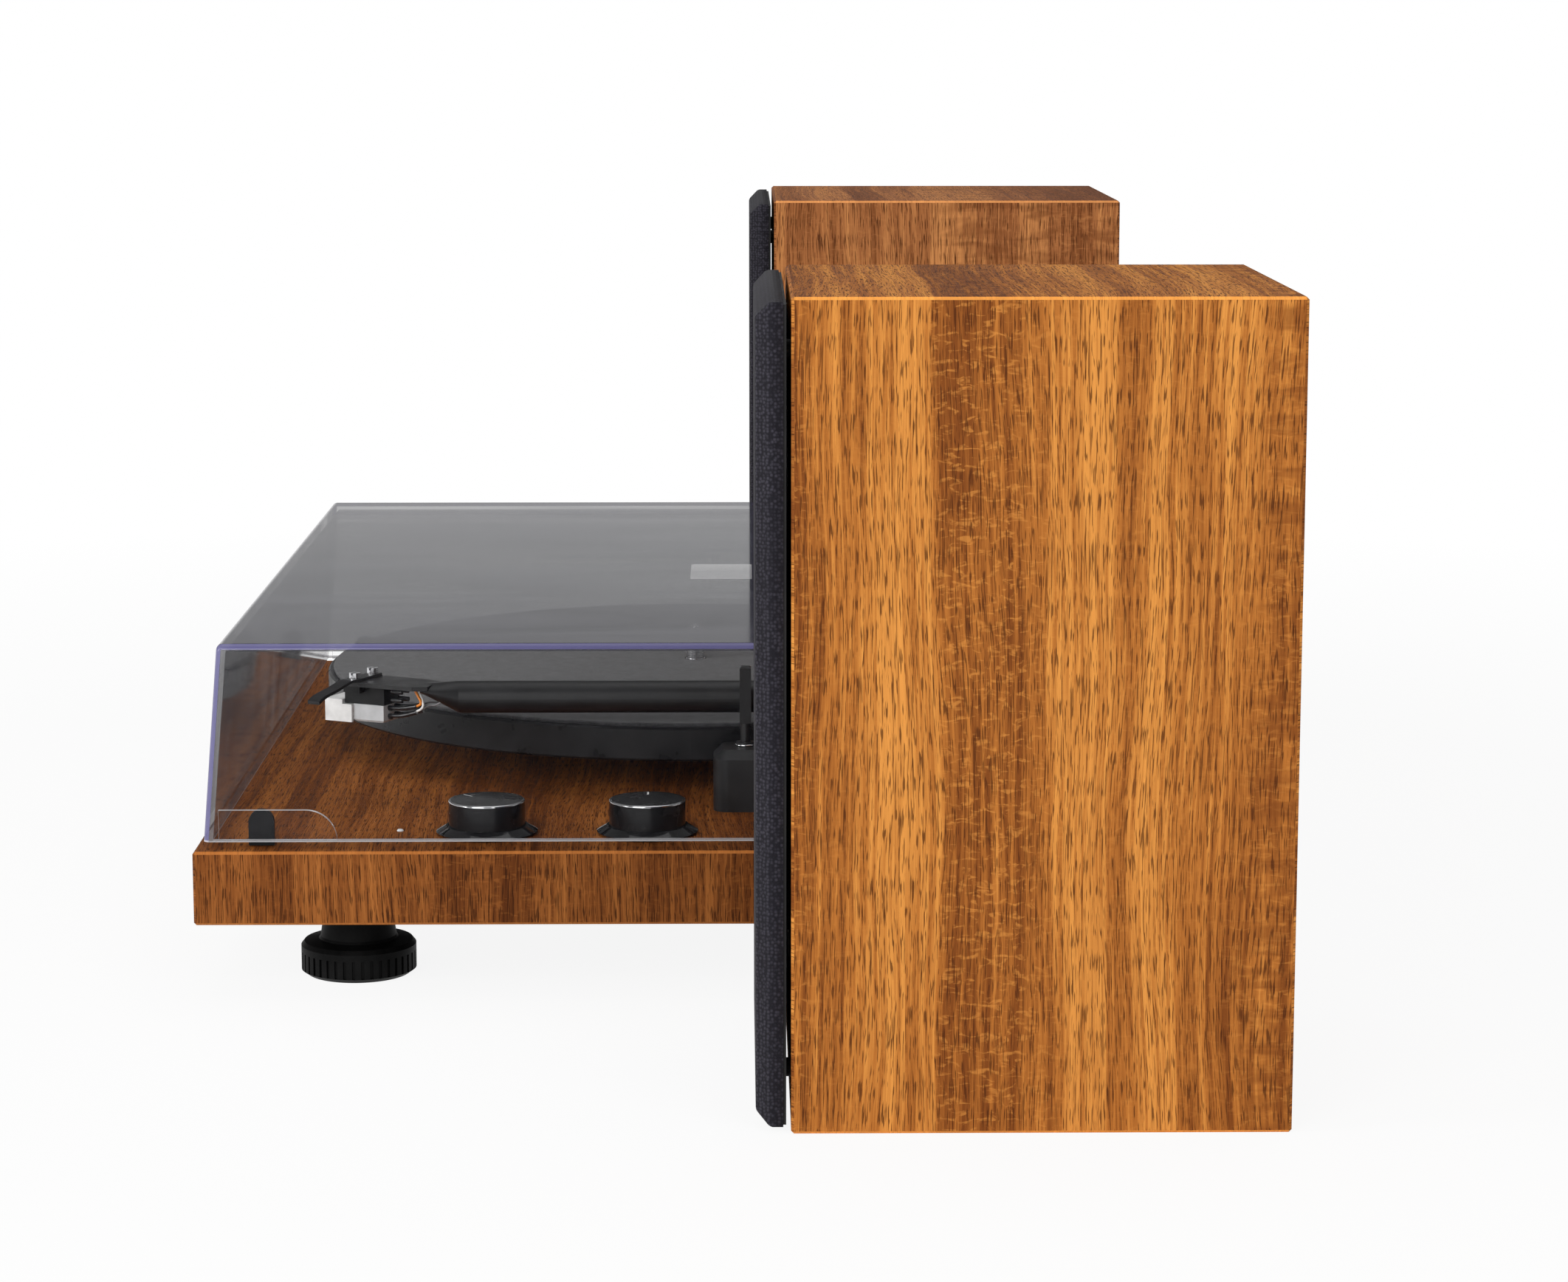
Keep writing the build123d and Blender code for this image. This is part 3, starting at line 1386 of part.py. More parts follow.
# Woofer frames: a flange, a windowed basket and the magnet
basket_rear_y = speaker_front_y + woofer_flange + woofer_basket_depth
with BuildPart() as woofer_frames:
    for speaker_x in speaker_xs:
        with BuildSketch(Plane.XY.move(Location((speaker_x, 0, woofer_height)))):
            with BuildLine():
                Polyline(
                    (woofer_radius - 8, speaker_front_y),
                    (woofer_radius, speaker_front_y),
                    (woofer_radius, speaker_front_y + woofer_flange),
                    (woofer_cut_radius - 1, speaker_front_y + woofer_flange),
                    (magnet_radius - 6, basket_rear_y - 2),
                    (magnet_radius, basket_rear_y),
                    (magnet_radius, basket_rear_y + magnet_height),
                    (0, basket_rear_y + magnet_height),
                    (0, basket_rear_y),
                    (magnet_radius - 10, basket_rear_y - 2.5),
                    (woofer_radius - 8, speaker_front_y + woofer_flange),
                    close=True,
                )
            make_face()
        revolve(axis=Axis((speaker_x, 0, woofer_height), (0, 1, 0)))
        with BuildSketch(Plane.XZ.offset(-speaker_front_y - woofer_flange - 6)):
            with Locations((speaker_x, woofer_height)):
                with PolarLocations((woofer_radius + magnet_radius) / 2 - 6, 6):
                    Rectangle(basket_window_length, basket_window_width)
        extrude(amount=-(woofer_basket_depth - 14), mode=Mode.SUBTRACT)
save(woofer_frames, "woofer_frames")

# Woofer cones: a rolled surround, a straight cone and a dust cap
cone_outer = woofer_radius - 8.5
cone_wall = 0.9
cone_inner = 13.0
cone_depth = 19.0
surround_width = 7.0
cap_rise = 5.0
cone_y = speaker_front_y + 1.2
with BuildPart() as woofer_cones:
    for speaker_x in speaker_xs:
        with BuildSketch(Plane.XY.move(Location((speaker_x, 0, woofer_height)))):
            with BuildLine():
                Polyline(
                    (cone_outer, cone_y),
                    (cone_outer - 1, cone_y - 1.6),
                    (cone_outer - surround_width / 2, cone_y - 2.6),
                    (cone_outer - surround_width + 1, cone_y - 1.6),
                    (cone_outer - surround_width, cone_y),
                    (cone_inner, cone_y + cone_depth),
                    (cone_inner * 0.7, cone_y + cone_depth - cap_rise * 0.6),
                    (0, cone_y + cone_depth - cap_rise),
                    (0, cone_y + cone_depth + cone_wall),
                    (cone_inner, cone_y + cone_depth + cone_wall),
                    (cone_outer - surround_width + 0.6, cone_y + cone_wall),
                    (cone_outer, cone_y + cone_wall),
                    close=True,
                )
            make_face()
        revolve(axis=Axis((speaker_x, 0, woofer_height), (0, 1, 0)))
save(woofer_cones, "woofer_cones")

# Tweeters: a plate with a shallow horn, a dome and a rear can
with BuildPart() as tweeters:
    for speaker_x in speaker_xs:
        with BuildSketch(Plane.XY.move(Location((speaker_x, 0, tweeter_height)))):
            with BuildLine():
                Polyline(
                    (dome_radius + 4, speaker_front_y),
                    (tweeter_radius, speaker_front_y),
                    (tweeter_radius, speaker_front_y + woofer_flange),
                    (tweeter_cut_radius - 1, speaker_front_y + woofer_flange),
                    (tweeter_cut_radius - 1, speaker_front_y + woofer_flange + 16),
                    (0, speaker_front_y + woofer_flange + 16),
                    (0, speaker_front_y + 0.3),
                )
                ThreePointArc(
                    (0, speaker_front_y + 0.3),
                    (dome_radius * 0.6, speaker_front_y + 1.2),
                    (dome_radius, speaker_front_y + 3.6),
                )
                Line((dome_radius, speaker_front_y + 3.6), (dome_radius + 4, speaker_front_y))
            make_face()
        revolve(axis=Axis((speaker_x, 0, tweeter_height), (0, 1, 0)))
save(tweeters, "tweeters")

# Port tubes with flared mouths in the rear panels
with BuildPart() as port_tubes:
    for speaker_x in speaker_xs:
        with BuildSketch(Plane.XY.move(Location((speaker_x, 0, port_height)))):
            with BuildLine():
                Polyline(
                    (port_radius, speaker_rear_y - port_length),
                    (port_radius + port_wall, speaker_rear_y - port_length),
                    (port_radius + port_wall, speaker_rear_y - cup_plate),
                    (port_flange_radius, speaker_rear_y - cup_plate),
                    (port_flange_radius, speaker_rear_y),
                    (port_radius + 4, speaker_rear_y),
                    (port_radius + 1.2, speaker_rear_y - 1.2),
                    (port_radius, speaker_rear_y - 4),
                    close=True,
                )
            make_face()
        revolve(axis=Axis((speaker_x, 0, port_height), (0, 1, 0)))
save(port_tubes, "port_tubes")

# Terminal cups let into the rear panels, and the posts inside them
with BuildPart() as terminal_cups:
    for speaker_x in speaker_xs:
        with BuildSketch(Plane.XZ.offset(-speaker_rear_y)):
            with Locations((speaker_x, cup_centre_height)):
                RectangleRounded(cup_width, cup_height, 4)
        extrude(amount=cup_plate)
        with BuildSketch(Plane.XZ.offset(-speaker_rear_y)):
            with Locations((speaker_x, cup_centre_height)):
                RectangleRounded(cup_width - 2 * cup_flange, cup_height - 2 * cup_flange, 3)
        extrude(amount=cup_depth)
        with BuildSketch(Plane.XZ.offset(-speaker_rear_y)):
            with Locations((speaker_x, cup_centre_height)):
                RectangleRounded(
                    cup_width - 2 * (cup_flange + cup_wall),
                    cup_height - 2 * (cup_flange + cup_wall),
                    2,
                )
        extrude(amount=cup_depth - cup_wall, mode=Mode.SUBTRACT)
save(terminal_cups, "terminal_cups")

cup_floor_y = speaker_rear_y - cup_depth + cup_wall
with BuildPart() as terminal_posts:
    for speaker_x in speaker_xs:
        with BuildSketch(Plane.XZ.offset(-cup_floor_y)):
            with Locations((speaker_x, cup_centre_height)):
                with GridLocations(post_spacing, 0, 2, 1):
                    RegularPolygon(post_cap_radius, 12)
        extrude(amount=-post_cap_length)
save(terminal_posts, "terminal_posts")

# Grilles: a bevelled frame on four pegs, and the cloth stretched over it
grille_rear_y = speaker_front_y - grille_gap
grille_width = speaker_width - 2 * grille_inset
grille_height = speaker_height - 2 * grille_inset
window_width = (grille_width - 2 * grille_bar + grille_rib) / window_columns - grille_rib
window_height = (grille_height - 2 * grille_bar + grille_rib) / window_rows - grille_rib
for speaker_x, speaker_name in zip(speaker_xs, speaker_names):
    with BuildPart() as grille_block:
        with BuildSketch(Plane.XZ.offset(-grille_rear_y)):
            with Locations((speaker_x, speaker_mid_z)):
                Rectangle(grille_width - 2 * grille_cloth, grille_height - 2 * grille_cloth)
        extrude(amount=grille_thickness - grille_cloth)
        chamfer(grille_block.faces().sort_by(Axis.Y)[0].edges(), grille_bevel)
    with BuildPart() as grille_frame:
        add(grille_block)
        with BuildSketch(Plane.XZ.offset(-grille_rear_y)):
            with Locations((speaker_x, speaker_mid_z)):
                with GridLocations(
                    window_width + grille_rib,
                    window_height + grille_rib,
                    window_columns,
                    window_rows,
                ):
                    RectangleRounded(window_width, window_height, window_corner)
        extrude(amount=grille_thickness, mode=Mode.SUBTRACT)
        with BuildSketch(Plane.XZ.offset(-grille_rear_y)):
            with Locations(*[(speaker_x + x, speaker_mid_z + z) for x, z in peg_places_from_centre]):
                Circle(peg_radius)
        extrude(amount=-(grille_gap + peg_length))
    save(grille_frame, "grille_frame_" + speaker_name)
    with BuildPart() as cloth:
        with BuildSketch(Plane.XZ.offset(-grille_rear_y)):
            with Locations((speaker_x, speaker_mid_z)):
                Rectangle(grille_width, grille_height)
        extrude(amount=grille_thickness)
        chamfer(cloth.faces().sort_by(Axis.Y)[0].edges(), grille_bevel + grille_cloth / 2)
        add(grille_block, mode=Mode.SUBTRACT)
    save(cloth, "grille_cloth_" + speaker_name)
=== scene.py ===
"""Dresses the record player and its two speakers, and lights them for a plain studio picture."""

import logging
import math
from dataclasses import dataclass, field
from enum import Enum
from typing import Any, Iterable, Sequence

import bpy
from mathutils import Matrix, Vector

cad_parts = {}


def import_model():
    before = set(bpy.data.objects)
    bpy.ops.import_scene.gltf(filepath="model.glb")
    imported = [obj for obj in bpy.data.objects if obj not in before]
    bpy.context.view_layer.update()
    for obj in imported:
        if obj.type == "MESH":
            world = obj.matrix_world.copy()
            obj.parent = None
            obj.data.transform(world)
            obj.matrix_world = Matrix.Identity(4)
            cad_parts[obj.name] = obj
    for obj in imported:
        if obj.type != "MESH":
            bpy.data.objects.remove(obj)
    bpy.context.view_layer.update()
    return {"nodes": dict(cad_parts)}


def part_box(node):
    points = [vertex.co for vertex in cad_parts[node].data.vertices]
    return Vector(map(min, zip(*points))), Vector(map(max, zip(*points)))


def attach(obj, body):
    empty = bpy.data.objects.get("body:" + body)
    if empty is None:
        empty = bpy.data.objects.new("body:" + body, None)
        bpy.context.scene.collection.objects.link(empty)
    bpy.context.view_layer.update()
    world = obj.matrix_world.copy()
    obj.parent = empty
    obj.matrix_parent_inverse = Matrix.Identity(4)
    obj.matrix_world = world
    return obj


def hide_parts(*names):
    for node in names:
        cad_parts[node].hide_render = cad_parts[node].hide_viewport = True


log = logging.getLogger("record_player")

Colour = tuple[float, float, float]
Point = tuple[float, float, float]

frame: dict[str, Any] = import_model()


class Surface(Enum):
    """How fine the skin of a moulded or painted piece is."""

    POLISHED = "polished"
    SATIN = "satin"
    GRAINED = "grained"


class Side(Enum):
    """The two speakers, by the sign of their place along X."""

    RIGHT = 1
    LEFT = -1


class Graph:
    """A node tree, with short calls for the nodes that the finishes and the backdrop share."""

    def __init__(self, owner: bpy.types.Material | bpy.types.World | str) -> None:
        """Start an empty tree.

        Args:
            owner: the name of a new material, or the world whose tree it is.
        """
        if isinstance(owner, str):
            owner = bpy.data.materials.new(owner)
        self.material = owner
        self.material.use_nodes = True
        self.tree: bpy.types.NodeTree = self.material.node_tree
        self.tree.nodes.clear()
        is_world = isinstance(owner, bpy.types.World)
        self.output = self.add("ShaderNodeOutputWorld" if is_world else "ShaderNodeOutputMaterial")

    def add(self, kind: str, **settings: Any) -> bpy.types.Node:
        """Add a node and set its plain properties.

        Args:
            kind: the node's type name.
            settings: property names and values.

        Returns:
            The new node.
        """
        node = self.tree.nodes.new(kind)
        for key, value in settings.items():
            setattr(node, key, value)
        return node

    def join(self, source: bpy.types.NodeSocket, target: bpy.types.NodeSocket) -> None:
        """Link an output socket to an input socket."""
        self.tree.links.new(source, target)

    def place(self) -> bpy.types.NodeSocket:
        """Return the object coordinates, in metres in the shared frame."""
        return self.add("ShaderNodeTexCoord").outputs["Object"]

    def split(self, vector: bpy.types.NodeSocket) -> bpy.types.bpy_prop_collection:
        """Take a vector apart into its three values."""
        node = self.add("ShaderNodeSeparateXYZ")
        self.join(vector, node.inputs[0])
        return node.outputs

    def facing(self) -> bpy.types.bpy_prop_collection:
        """Return the three values of the surface's own normal."""
        return self.split(self.add("ShaderNodeTexCoord").outputs["Normal"])

    def stretch(self, vector: bpy.types.NodeSocket, scale: Point) -> bpy.types.NodeSocket:
        """Scale a vector.

        Args:
            vector: what is scaled.
            scale: the factor along each axis.

        Returns:
            The scaled vector.
        """
        mapping = self.add("ShaderNodeMapping")
        mapping.inputs["Scale"].default_value = scale
        self.join(vector, mapping.inputs["Vector"])
        return mapping.outputs["Vector"]

    def noise(
        self,
        vector: bpy.types.NodeSocket,
        scale: float,
        detail: float = 2.0,
        roughness: float = 0.5,
        distortion: float = 0.0,
    ) -> bpy.types.NodeSocket:
        """Add a noise texture.

        Args:
            vector: the coordinates that it reads.
            scale: its scale.
            detail: its octaves.
            roughness: how strong the finer octaves are.
            distortion: how far it is warped.

        Returns:
            The noise, from 0 to 1.
        """
        node = self.add("ShaderNodeTexNoise")
        node.inputs["Scale"].default_value = scale
        node.inputs["Detail"].default_value = detail
        node.inputs["Roughness"].default_value = roughness
        node.inputs["Distortion"].default_value = distortion
        self.join(vector, node.inputs["Vector"])
        return node.outputs["Fac"]

    def ramp(
        self, factor: bpy.types.NodeSocket, stops: Sequence[tuple[float, Colour]]
    ) -> bpy.types.NodeSocket:
        """Add a colour ramp.

        Args:
            factor: what drives it.
            stops: places and colours.

        Returns:
            The ramp's colour.
        """
        node = self.add("ShaderNodeValToRGB")
        elements = node.color_ramp.elements
        while len(elements) < len(stops):
            elements.new(0.5)
        for element, (place, colour) in zip(elements, stops):
            element.position = place
            element.color = (*colour, 1.0)
        self.join(factor, node.inputs["Fac"])
        return node.outputs["Color"]

    def grade(
        self, value: bpy.types.NodeSocket, low: float, high: float, start: float, end: float
    ) -> bpy.types.NodeSocket:
        """Map a value from one range to another, clamped.

        Args:
            value: what is mapped.
            low: the value that gives start.
            high: the value that gives end.
            start: the first result.
            end: the last result.

        Returns:
            The mapped value.
        """
        node = self.add("ShaderNodeMapRange")
        node.inputs["From Min"].default_value = low
        node.inputs["From Max"].default_value = high
        node.inputs["To Min"].default_value = start
        node.inputs["To Max"].default_value = end
        self.join(value, node.inputs["Value"])
        return node.outputs["Result"]

    def math(
        self,
        operation: str,
        first: bpy.types.NodeSocket | float,
        second: bpy.types.NodeSocket | float = 0.0,
    ) -> bpy.types.NodeSocket:
        """Add a math node.

        Args:
            operation: its operation.
            first: the first value or socket.
            second: the second value or socket.

        Returns:
            The result.
        """
        node = self.add("ShaderNodeMath", operation=operation)
        for value, socket in ((first, node.inputs[0]), (second, node.inputs[1])):
            if isinstance(value, float):
                socket.default_value = value
            else:
                self.join(value, socket)
        return node.outputs[0]

    def blend(
        self,
        factor: bpy.types.NodeSocket | float,
        first: bpy.types.NodeSocket | Colour,
        second: bpy.types.NodeSocket | Colour,
    ) -> bpy.types.NodeSocket:
        """Mix two colours.

        Args:
            factor: how much of the second shows.
            first: the first colour.
            second: the second colour.

        Returns:
            The mixed colour.
        """
        node = self.add("ShaderNodeMix", data_type="RGBA")
        sockets = {s.identifier: s for s in node.inputs}
        for value, key in ((factor, "Factor_Float"), (first, "A_Color"), (second, "B_Color")):
            if isinstance(value, bpy.types.NodeSocket):
                self.join(value, sockets[key])
            elif isinstance(value, float):
                sockets[key].default_value = value
            else:
                sockets[key].default_value = (*value, 1.0)
        return next(s for s in node.outputs if s.identifier == "Result_Color")

    def gather(self, *parts: bpy.types.NodeSocket) -> bpy.types.NodeSocket:
        """Put three values together as a vector."""
        node = self.add("ShaderNodeCombineXYZ")
        for part, target in zip(parts, node.inputs):
            self.join(part, target)
        return node.outputs[0]

    def pick(
        self,
        factor: bpy.types.NodeSocket,
        first: bpy.types.NodeSocket,
        second: bpy.types.NodeSocket,
    ) -> bpy.types.NodeSocket:
        """Choose between two vectors.

        Args:
            factor: 0 for the first, 1 for the second.
            first: the first vector.
            second: the second vector.

        Returns:
            The chosen vector.
        """
        node = self.add("ShaderNodeMix", data_type="VECTOR")
        sockets = {s.identifier: s for s in node.inputs}
        self.join(factor, sockets["Factor_Float"])
        self.join(first, sockets["A_Vector"])
        self.join(second, sockets["B_Vector"])
        return next(s for s in node.outputs if s.identifier == "Result_Vector")

    def sway(
        self, vector: bpy.types.NodeSocket, amount: bpy.types.NodeSocket, reach: float
    ) -> bpy.types.NodeSocket:
        """Shift a grain vector sideways by a slow noise.

        Args:
            vector: across, along and depth.
            amount: the noise.
            reach: how far it shifts, in metres.

        Returns:
            The shifted vector.
        """
        offset = self.grade(amount, 0.3, 0.7, -reach, reach)
        still = self.add("ShaderNodeValue")
        move = self.add("ShaderNodeVectorMath", operation="ADD")
        self.join(vector, move.inputs[0])
        self.join(self.gather(offset, still.outputs[0], still.outputs[0]), move.inputs[1])
        return move.outputs[0]

    def bump(
        self, height: bpy.types.NodeSocket, distance: float, strength: float = 1.0
    ) -> bpy.types.NodeSocket:
        """Add a bump node.

        Args:
            height: the height map.
            distance: the height of a full step, in metres.
            strength: how much of it counts.

        Returns:
            The bent normal.
        """
        node = self.add("ShaderNodeBump")
        node.inputs["Distance"].default_value = distance
        node.inputs["Strength"].default_value = strength
        self.join(height, node.inputs["Height"])
        return node.outputs["Normal"]

    def principled(self, **values: Any) -> bpy.types.Node:
        """Add the surface shader and join it to the output.

        Args:
            values: socket names, with underscores for spaces, and their values or sources.

        Returns:
            The shader node.
        """
        node = self.add("ShaderNodeBsdfPrincipled")
        for key, value in values.items():
            socket = node.inputs[key.replace("_", " ")]
            if isinstance(value, bpy.types.NodeSocket):
                self.join(value, socket)
            elif isinstance(value, tuple) and len(value) == 3:
                socket.default_value = (*value, 1.0)
            else:
                socket.default_value = value
        self.join(node.outputs[0], self.output.inputs["Surface"])
        return node


@dataclass(frozen=True)
class Figure:
    """One layer of the wood's figure: its repeats in a metre, across and along, and its roughness."""

    across: float
    along: float
    detail: float = 2.0
    roughness: float = 0.5
    distortion: float = 0.0

    def read(self, graph: Graph, place: bpy.types.NodeSocket) -> bpy.types.NodeSocket:
        """Return how strong the layer is at each place, from 0 to 1."""
        spread = graph.stretch(place, (self.across, self.along, 0.0))
        return graph.noise(spread, 1.0, self.detail, self.roughness, self.distortion)


@dataclass(frozen=True)
class Walnut:
    """Walnut veneer in matched flitches, whose grain runs over the top and down the sides."""

    name: str
    front: float
    rear: float
    flitches: tuple[tuple[float, float], ...]
    light: Colour = (0.660, 0.268, 0.056)
    middle: Colour = (0.430, 0.148, 0.028)
    dark: Colour = (0.200, 0.058, 0.012)
    pore: Colour = (0.072, 0.020, 0.006)
    shift: float = 0.0
    curl: tuple[float, float] = (0.90, 0.95)
    # Painted highlight on the rounded edges: how much lighter they get, and the turn of the normal
    # over which it grows.
    painted_edge_highlight_strength: float = 0.6
    painted_edge_highlight_turn: tuple[float, float] = (0.20, 0.45)
    square_on: float = 0.7
    wander: Figure = Figure(14.0, 4.0)
    wander_reach: float = 0.004
    boards: Figure = Figure(60.0, 1.6, 3.0, 0.55, 0.5)
    fibres: Figure = Figure(520.0, 8.0, 5.0, 0.66)
    threads: Figure = Figure(1500.0, 40.0)
    flecks: Figure = Figure(210.0, 520.0, distortion=1.0)
    waves: Figure = Figure(34.0, 150.0, distortion=0.9)
    pores: Figure = Figure(2300.0, 125.0, 1.5)
    long_pores: Figure = Figure(1700.0, 48.0, 1.5)
    shares: tuple[float, float, float] = (0.42, 0.46, 0.12)
    flitch_depth: float = 0.16
    tones: tuple[float, float, float, float] = (0.34, 0.44, 0.53, 0.66)
    pore_depth: float = 0.00008

    def grain_place(self, graph: Graph) -> bpy.types.NodeSocket:
        """Work out across, along and depth for each face from its normal.

        Args:
            graph: the material being made.

        Returns:
            A vector of across, along and depth, in metres.
        """
        x, y, z = graph.split(graph.place())
        facing = graph.facing()
        is_top = graph.math("GREATER_THAN", graph.math("ABSOLUTE", facing[2]), self.square_on)
        is_end = graph.math("GREATER_THAN", graph.math("ABSOLUTE", facing[1]), self.square_on)
        side = graph.gather(y, z, x)
        top = graph.gather(y, x, z)
        end = graph.gather(z, x, y)
        out = graph.pick(is_end, graph.pick(is_top, side, top), end)
        move = graph.add("ShaderNodeVectorMath", operation="ADD")
        graph.join(out, move.inputs[0])
        move.inputs[1].default_value = (0.0, self.shift, 0.0)
        return move.outputs[0]

    def painted_edge_highlight(self, graph: Graph) -> bpy.types.NodeSocket:
        """Find the long rounded edges, where a highlight is painted into the colour.

        Args:
            graph: the material being made.

        Returns:
            How much painted highlight each point gets, from 0 to 1.
        """
        facing = graph.facing()
        across = graph.math("ABSOLUTE", facing[0])
        turned = graph.math("MULTIPLY", across, graph.math("ABSOLUTE", facing[2]))
        return graph.grade(turned, *self.painted_edge_highlight_turn, 0.0, self.painted_edge_highlight_strength)

    def make(self) -> bpy.types.Material:
        """Build the veneer.

        Returns:
            The material.
        """
        graph = Graph(self.name)
        place = self.grain_place(graph)
        place = graph.sway(place, self.wander.read(graph, place), self.wander_reach)
        where = graph.grade(graph.split(place)[0], self.front, self.rear, 0.0, 1.0)
        depth = graph.ramp(where, [(t, (v, v, v)) for t, v in self.flitches])
        fibres = self.fibres.read(graph, place)
        layers = (self.boards.read(graph, place), fibres, self.threads.read(graph, place))
        parts = [graph.math("MULTIPLY", *pair) for pair in zip(layers, self.shares)]
        tone = graph.math("ADD", graph.math("ADD", parts[0], parts[1]), parts[2])
        tone = graph.math("SUBTRACT", tone, graph.math("MULTIPLY", depth, self.flitch_depth))
        pale = tuple(min(1.0, c * 1.16) for c in self.light)
        base = graph.ramp(tone, list(zip(self.tones, (self.dark, self.middle, self.light, pale))))
        flecks = self.flecks.read(graph, place)
        fleck = graph.math("MULTIPLY", graph.grade(flecks, 0.54, 0.66, 0.0, 0.55), depth)
        flecked = graph.blend(fleck, base, self.light)
        curled = graph.math(
            "MULTIPLY",
            graph.grade(where, *self.curl, 0.0, 1.0),
            graph.grade(self.waves.read(graph, place), 0.45, 0.62, 0.0, 0.62),
        )
        waved = graph.blend(curled, flecked, self.dark)
        dash = graph.grade(self.pores.read(graph, place), 0.565, 0.625, 0.0, 0.80)
        dashed = graph.blend(dash, waved, self.pore)
        line = graph.grade(self.long_pores.read(graph, place), 0.61, 0.66, 0.0, 0.70)
        lined = graph.blend(line, dashed, self.pore)
        # Painted highlight: the rounded edges are blended toward a brighter walnut.
        colour = graph.blend(self.painted_edge_highlight(graph), lined, tuple(c * 1.7 for c in self.light))
        height = graph.math(
            "SUBTRACT",
            graph.math("MULTIPLY", fibres, 0.35),
            graph.math("MAXIMUM", dash, line),
        )
        graph.principled(
            Base_Color=colour,
            Roughness=graph.grade(fibres, 0.3, 0.7, 0.50, 0.60),
            Specular_IOR_Level=0.04,
            Normal=graph.bump(height, self.pore_depth, 0.5),
        )
        return graph.material


@dataclass(frozen=True)
class Moulding:
    """Moulded plastic, rubber or paint: one colour with a fine skin and faint wear."""

    name: str
    colour: Colour
    roughness: float = 0.4
    surface: Surface = Surface.SATIN
    specular: float = 0.18
    coat: float = 0.0

    def make(self) -> bpy.types.Material:
        """Build the moulded skin.

        Returns:
            The material.
        """
        graph = Graph(self.name)
        place = graph.place()
        mottle = graph.noise(place, 90.0, 3.0, 0.6)
        scale, depth = {
            Surface.POLISHED: (500.0, 0.000004),
            Surface.SATIN: (1800.0, 0.00001),
            Surface.GRAINED: (1300.0, 0.00005),
        }[self.surface]
        skin = graph.noise(place, scale, 2.0, 0.6)
        pale = tuple(min(1.0, c * 1.18 + 0.004) for c in self.colour)
        deep = tuple(c * 0.82 for c in self.colour)
        graph.principled(
            Base_Color=graph.ramp(mottle, [(0.32, deep), (0.68, pale)]),
            Roughness=graph.grade(
                mottle, 0.3, 0.7, max(0.02, self.roughness - 0.05), self.roughness + 0.06
            ),
            Specular_IOR_Level=self.specular,
            Coat_Weight=self.coat,
            Normal=graph.bump(skin, depth, 0.8),
        )
        return graph.material


@dataclass(frozen=True)
class TurnedMetal:
    """Bright metal with fine turning or brushing lines."""

    name: str
    colour: Colour
    roughness: float = 0.22
    lines: Point = (60.0, 60.0, 4000.0)

    def make(self) -> bpy.types.Material:
        """Build the metal.

        Returns:
            The material.
        """
        graph = Graph(self.name)
        place = graph.place()
        lines = graph.noise(graph.stretch(place, self.lines), 1.0, 3.0, 0.6)
        stain = graph.noise(place, 60.0, 3.0, 0.6)
        deep = tuple(c * 0.86 for c in self.colour)
        graph.principled(
            Base_Color=graph.ramp(stain, [(0.35, deep), (0.65, self.colour)]),
            Metallic=1.0,
            Roughness=graph.grade(lines, 0.3, 0.7, self.roughness * 0.7, self.roughness * 1.4),
            Normal=graph.bump(lines, 0.00001, 0.6),
        )
        return graph.material


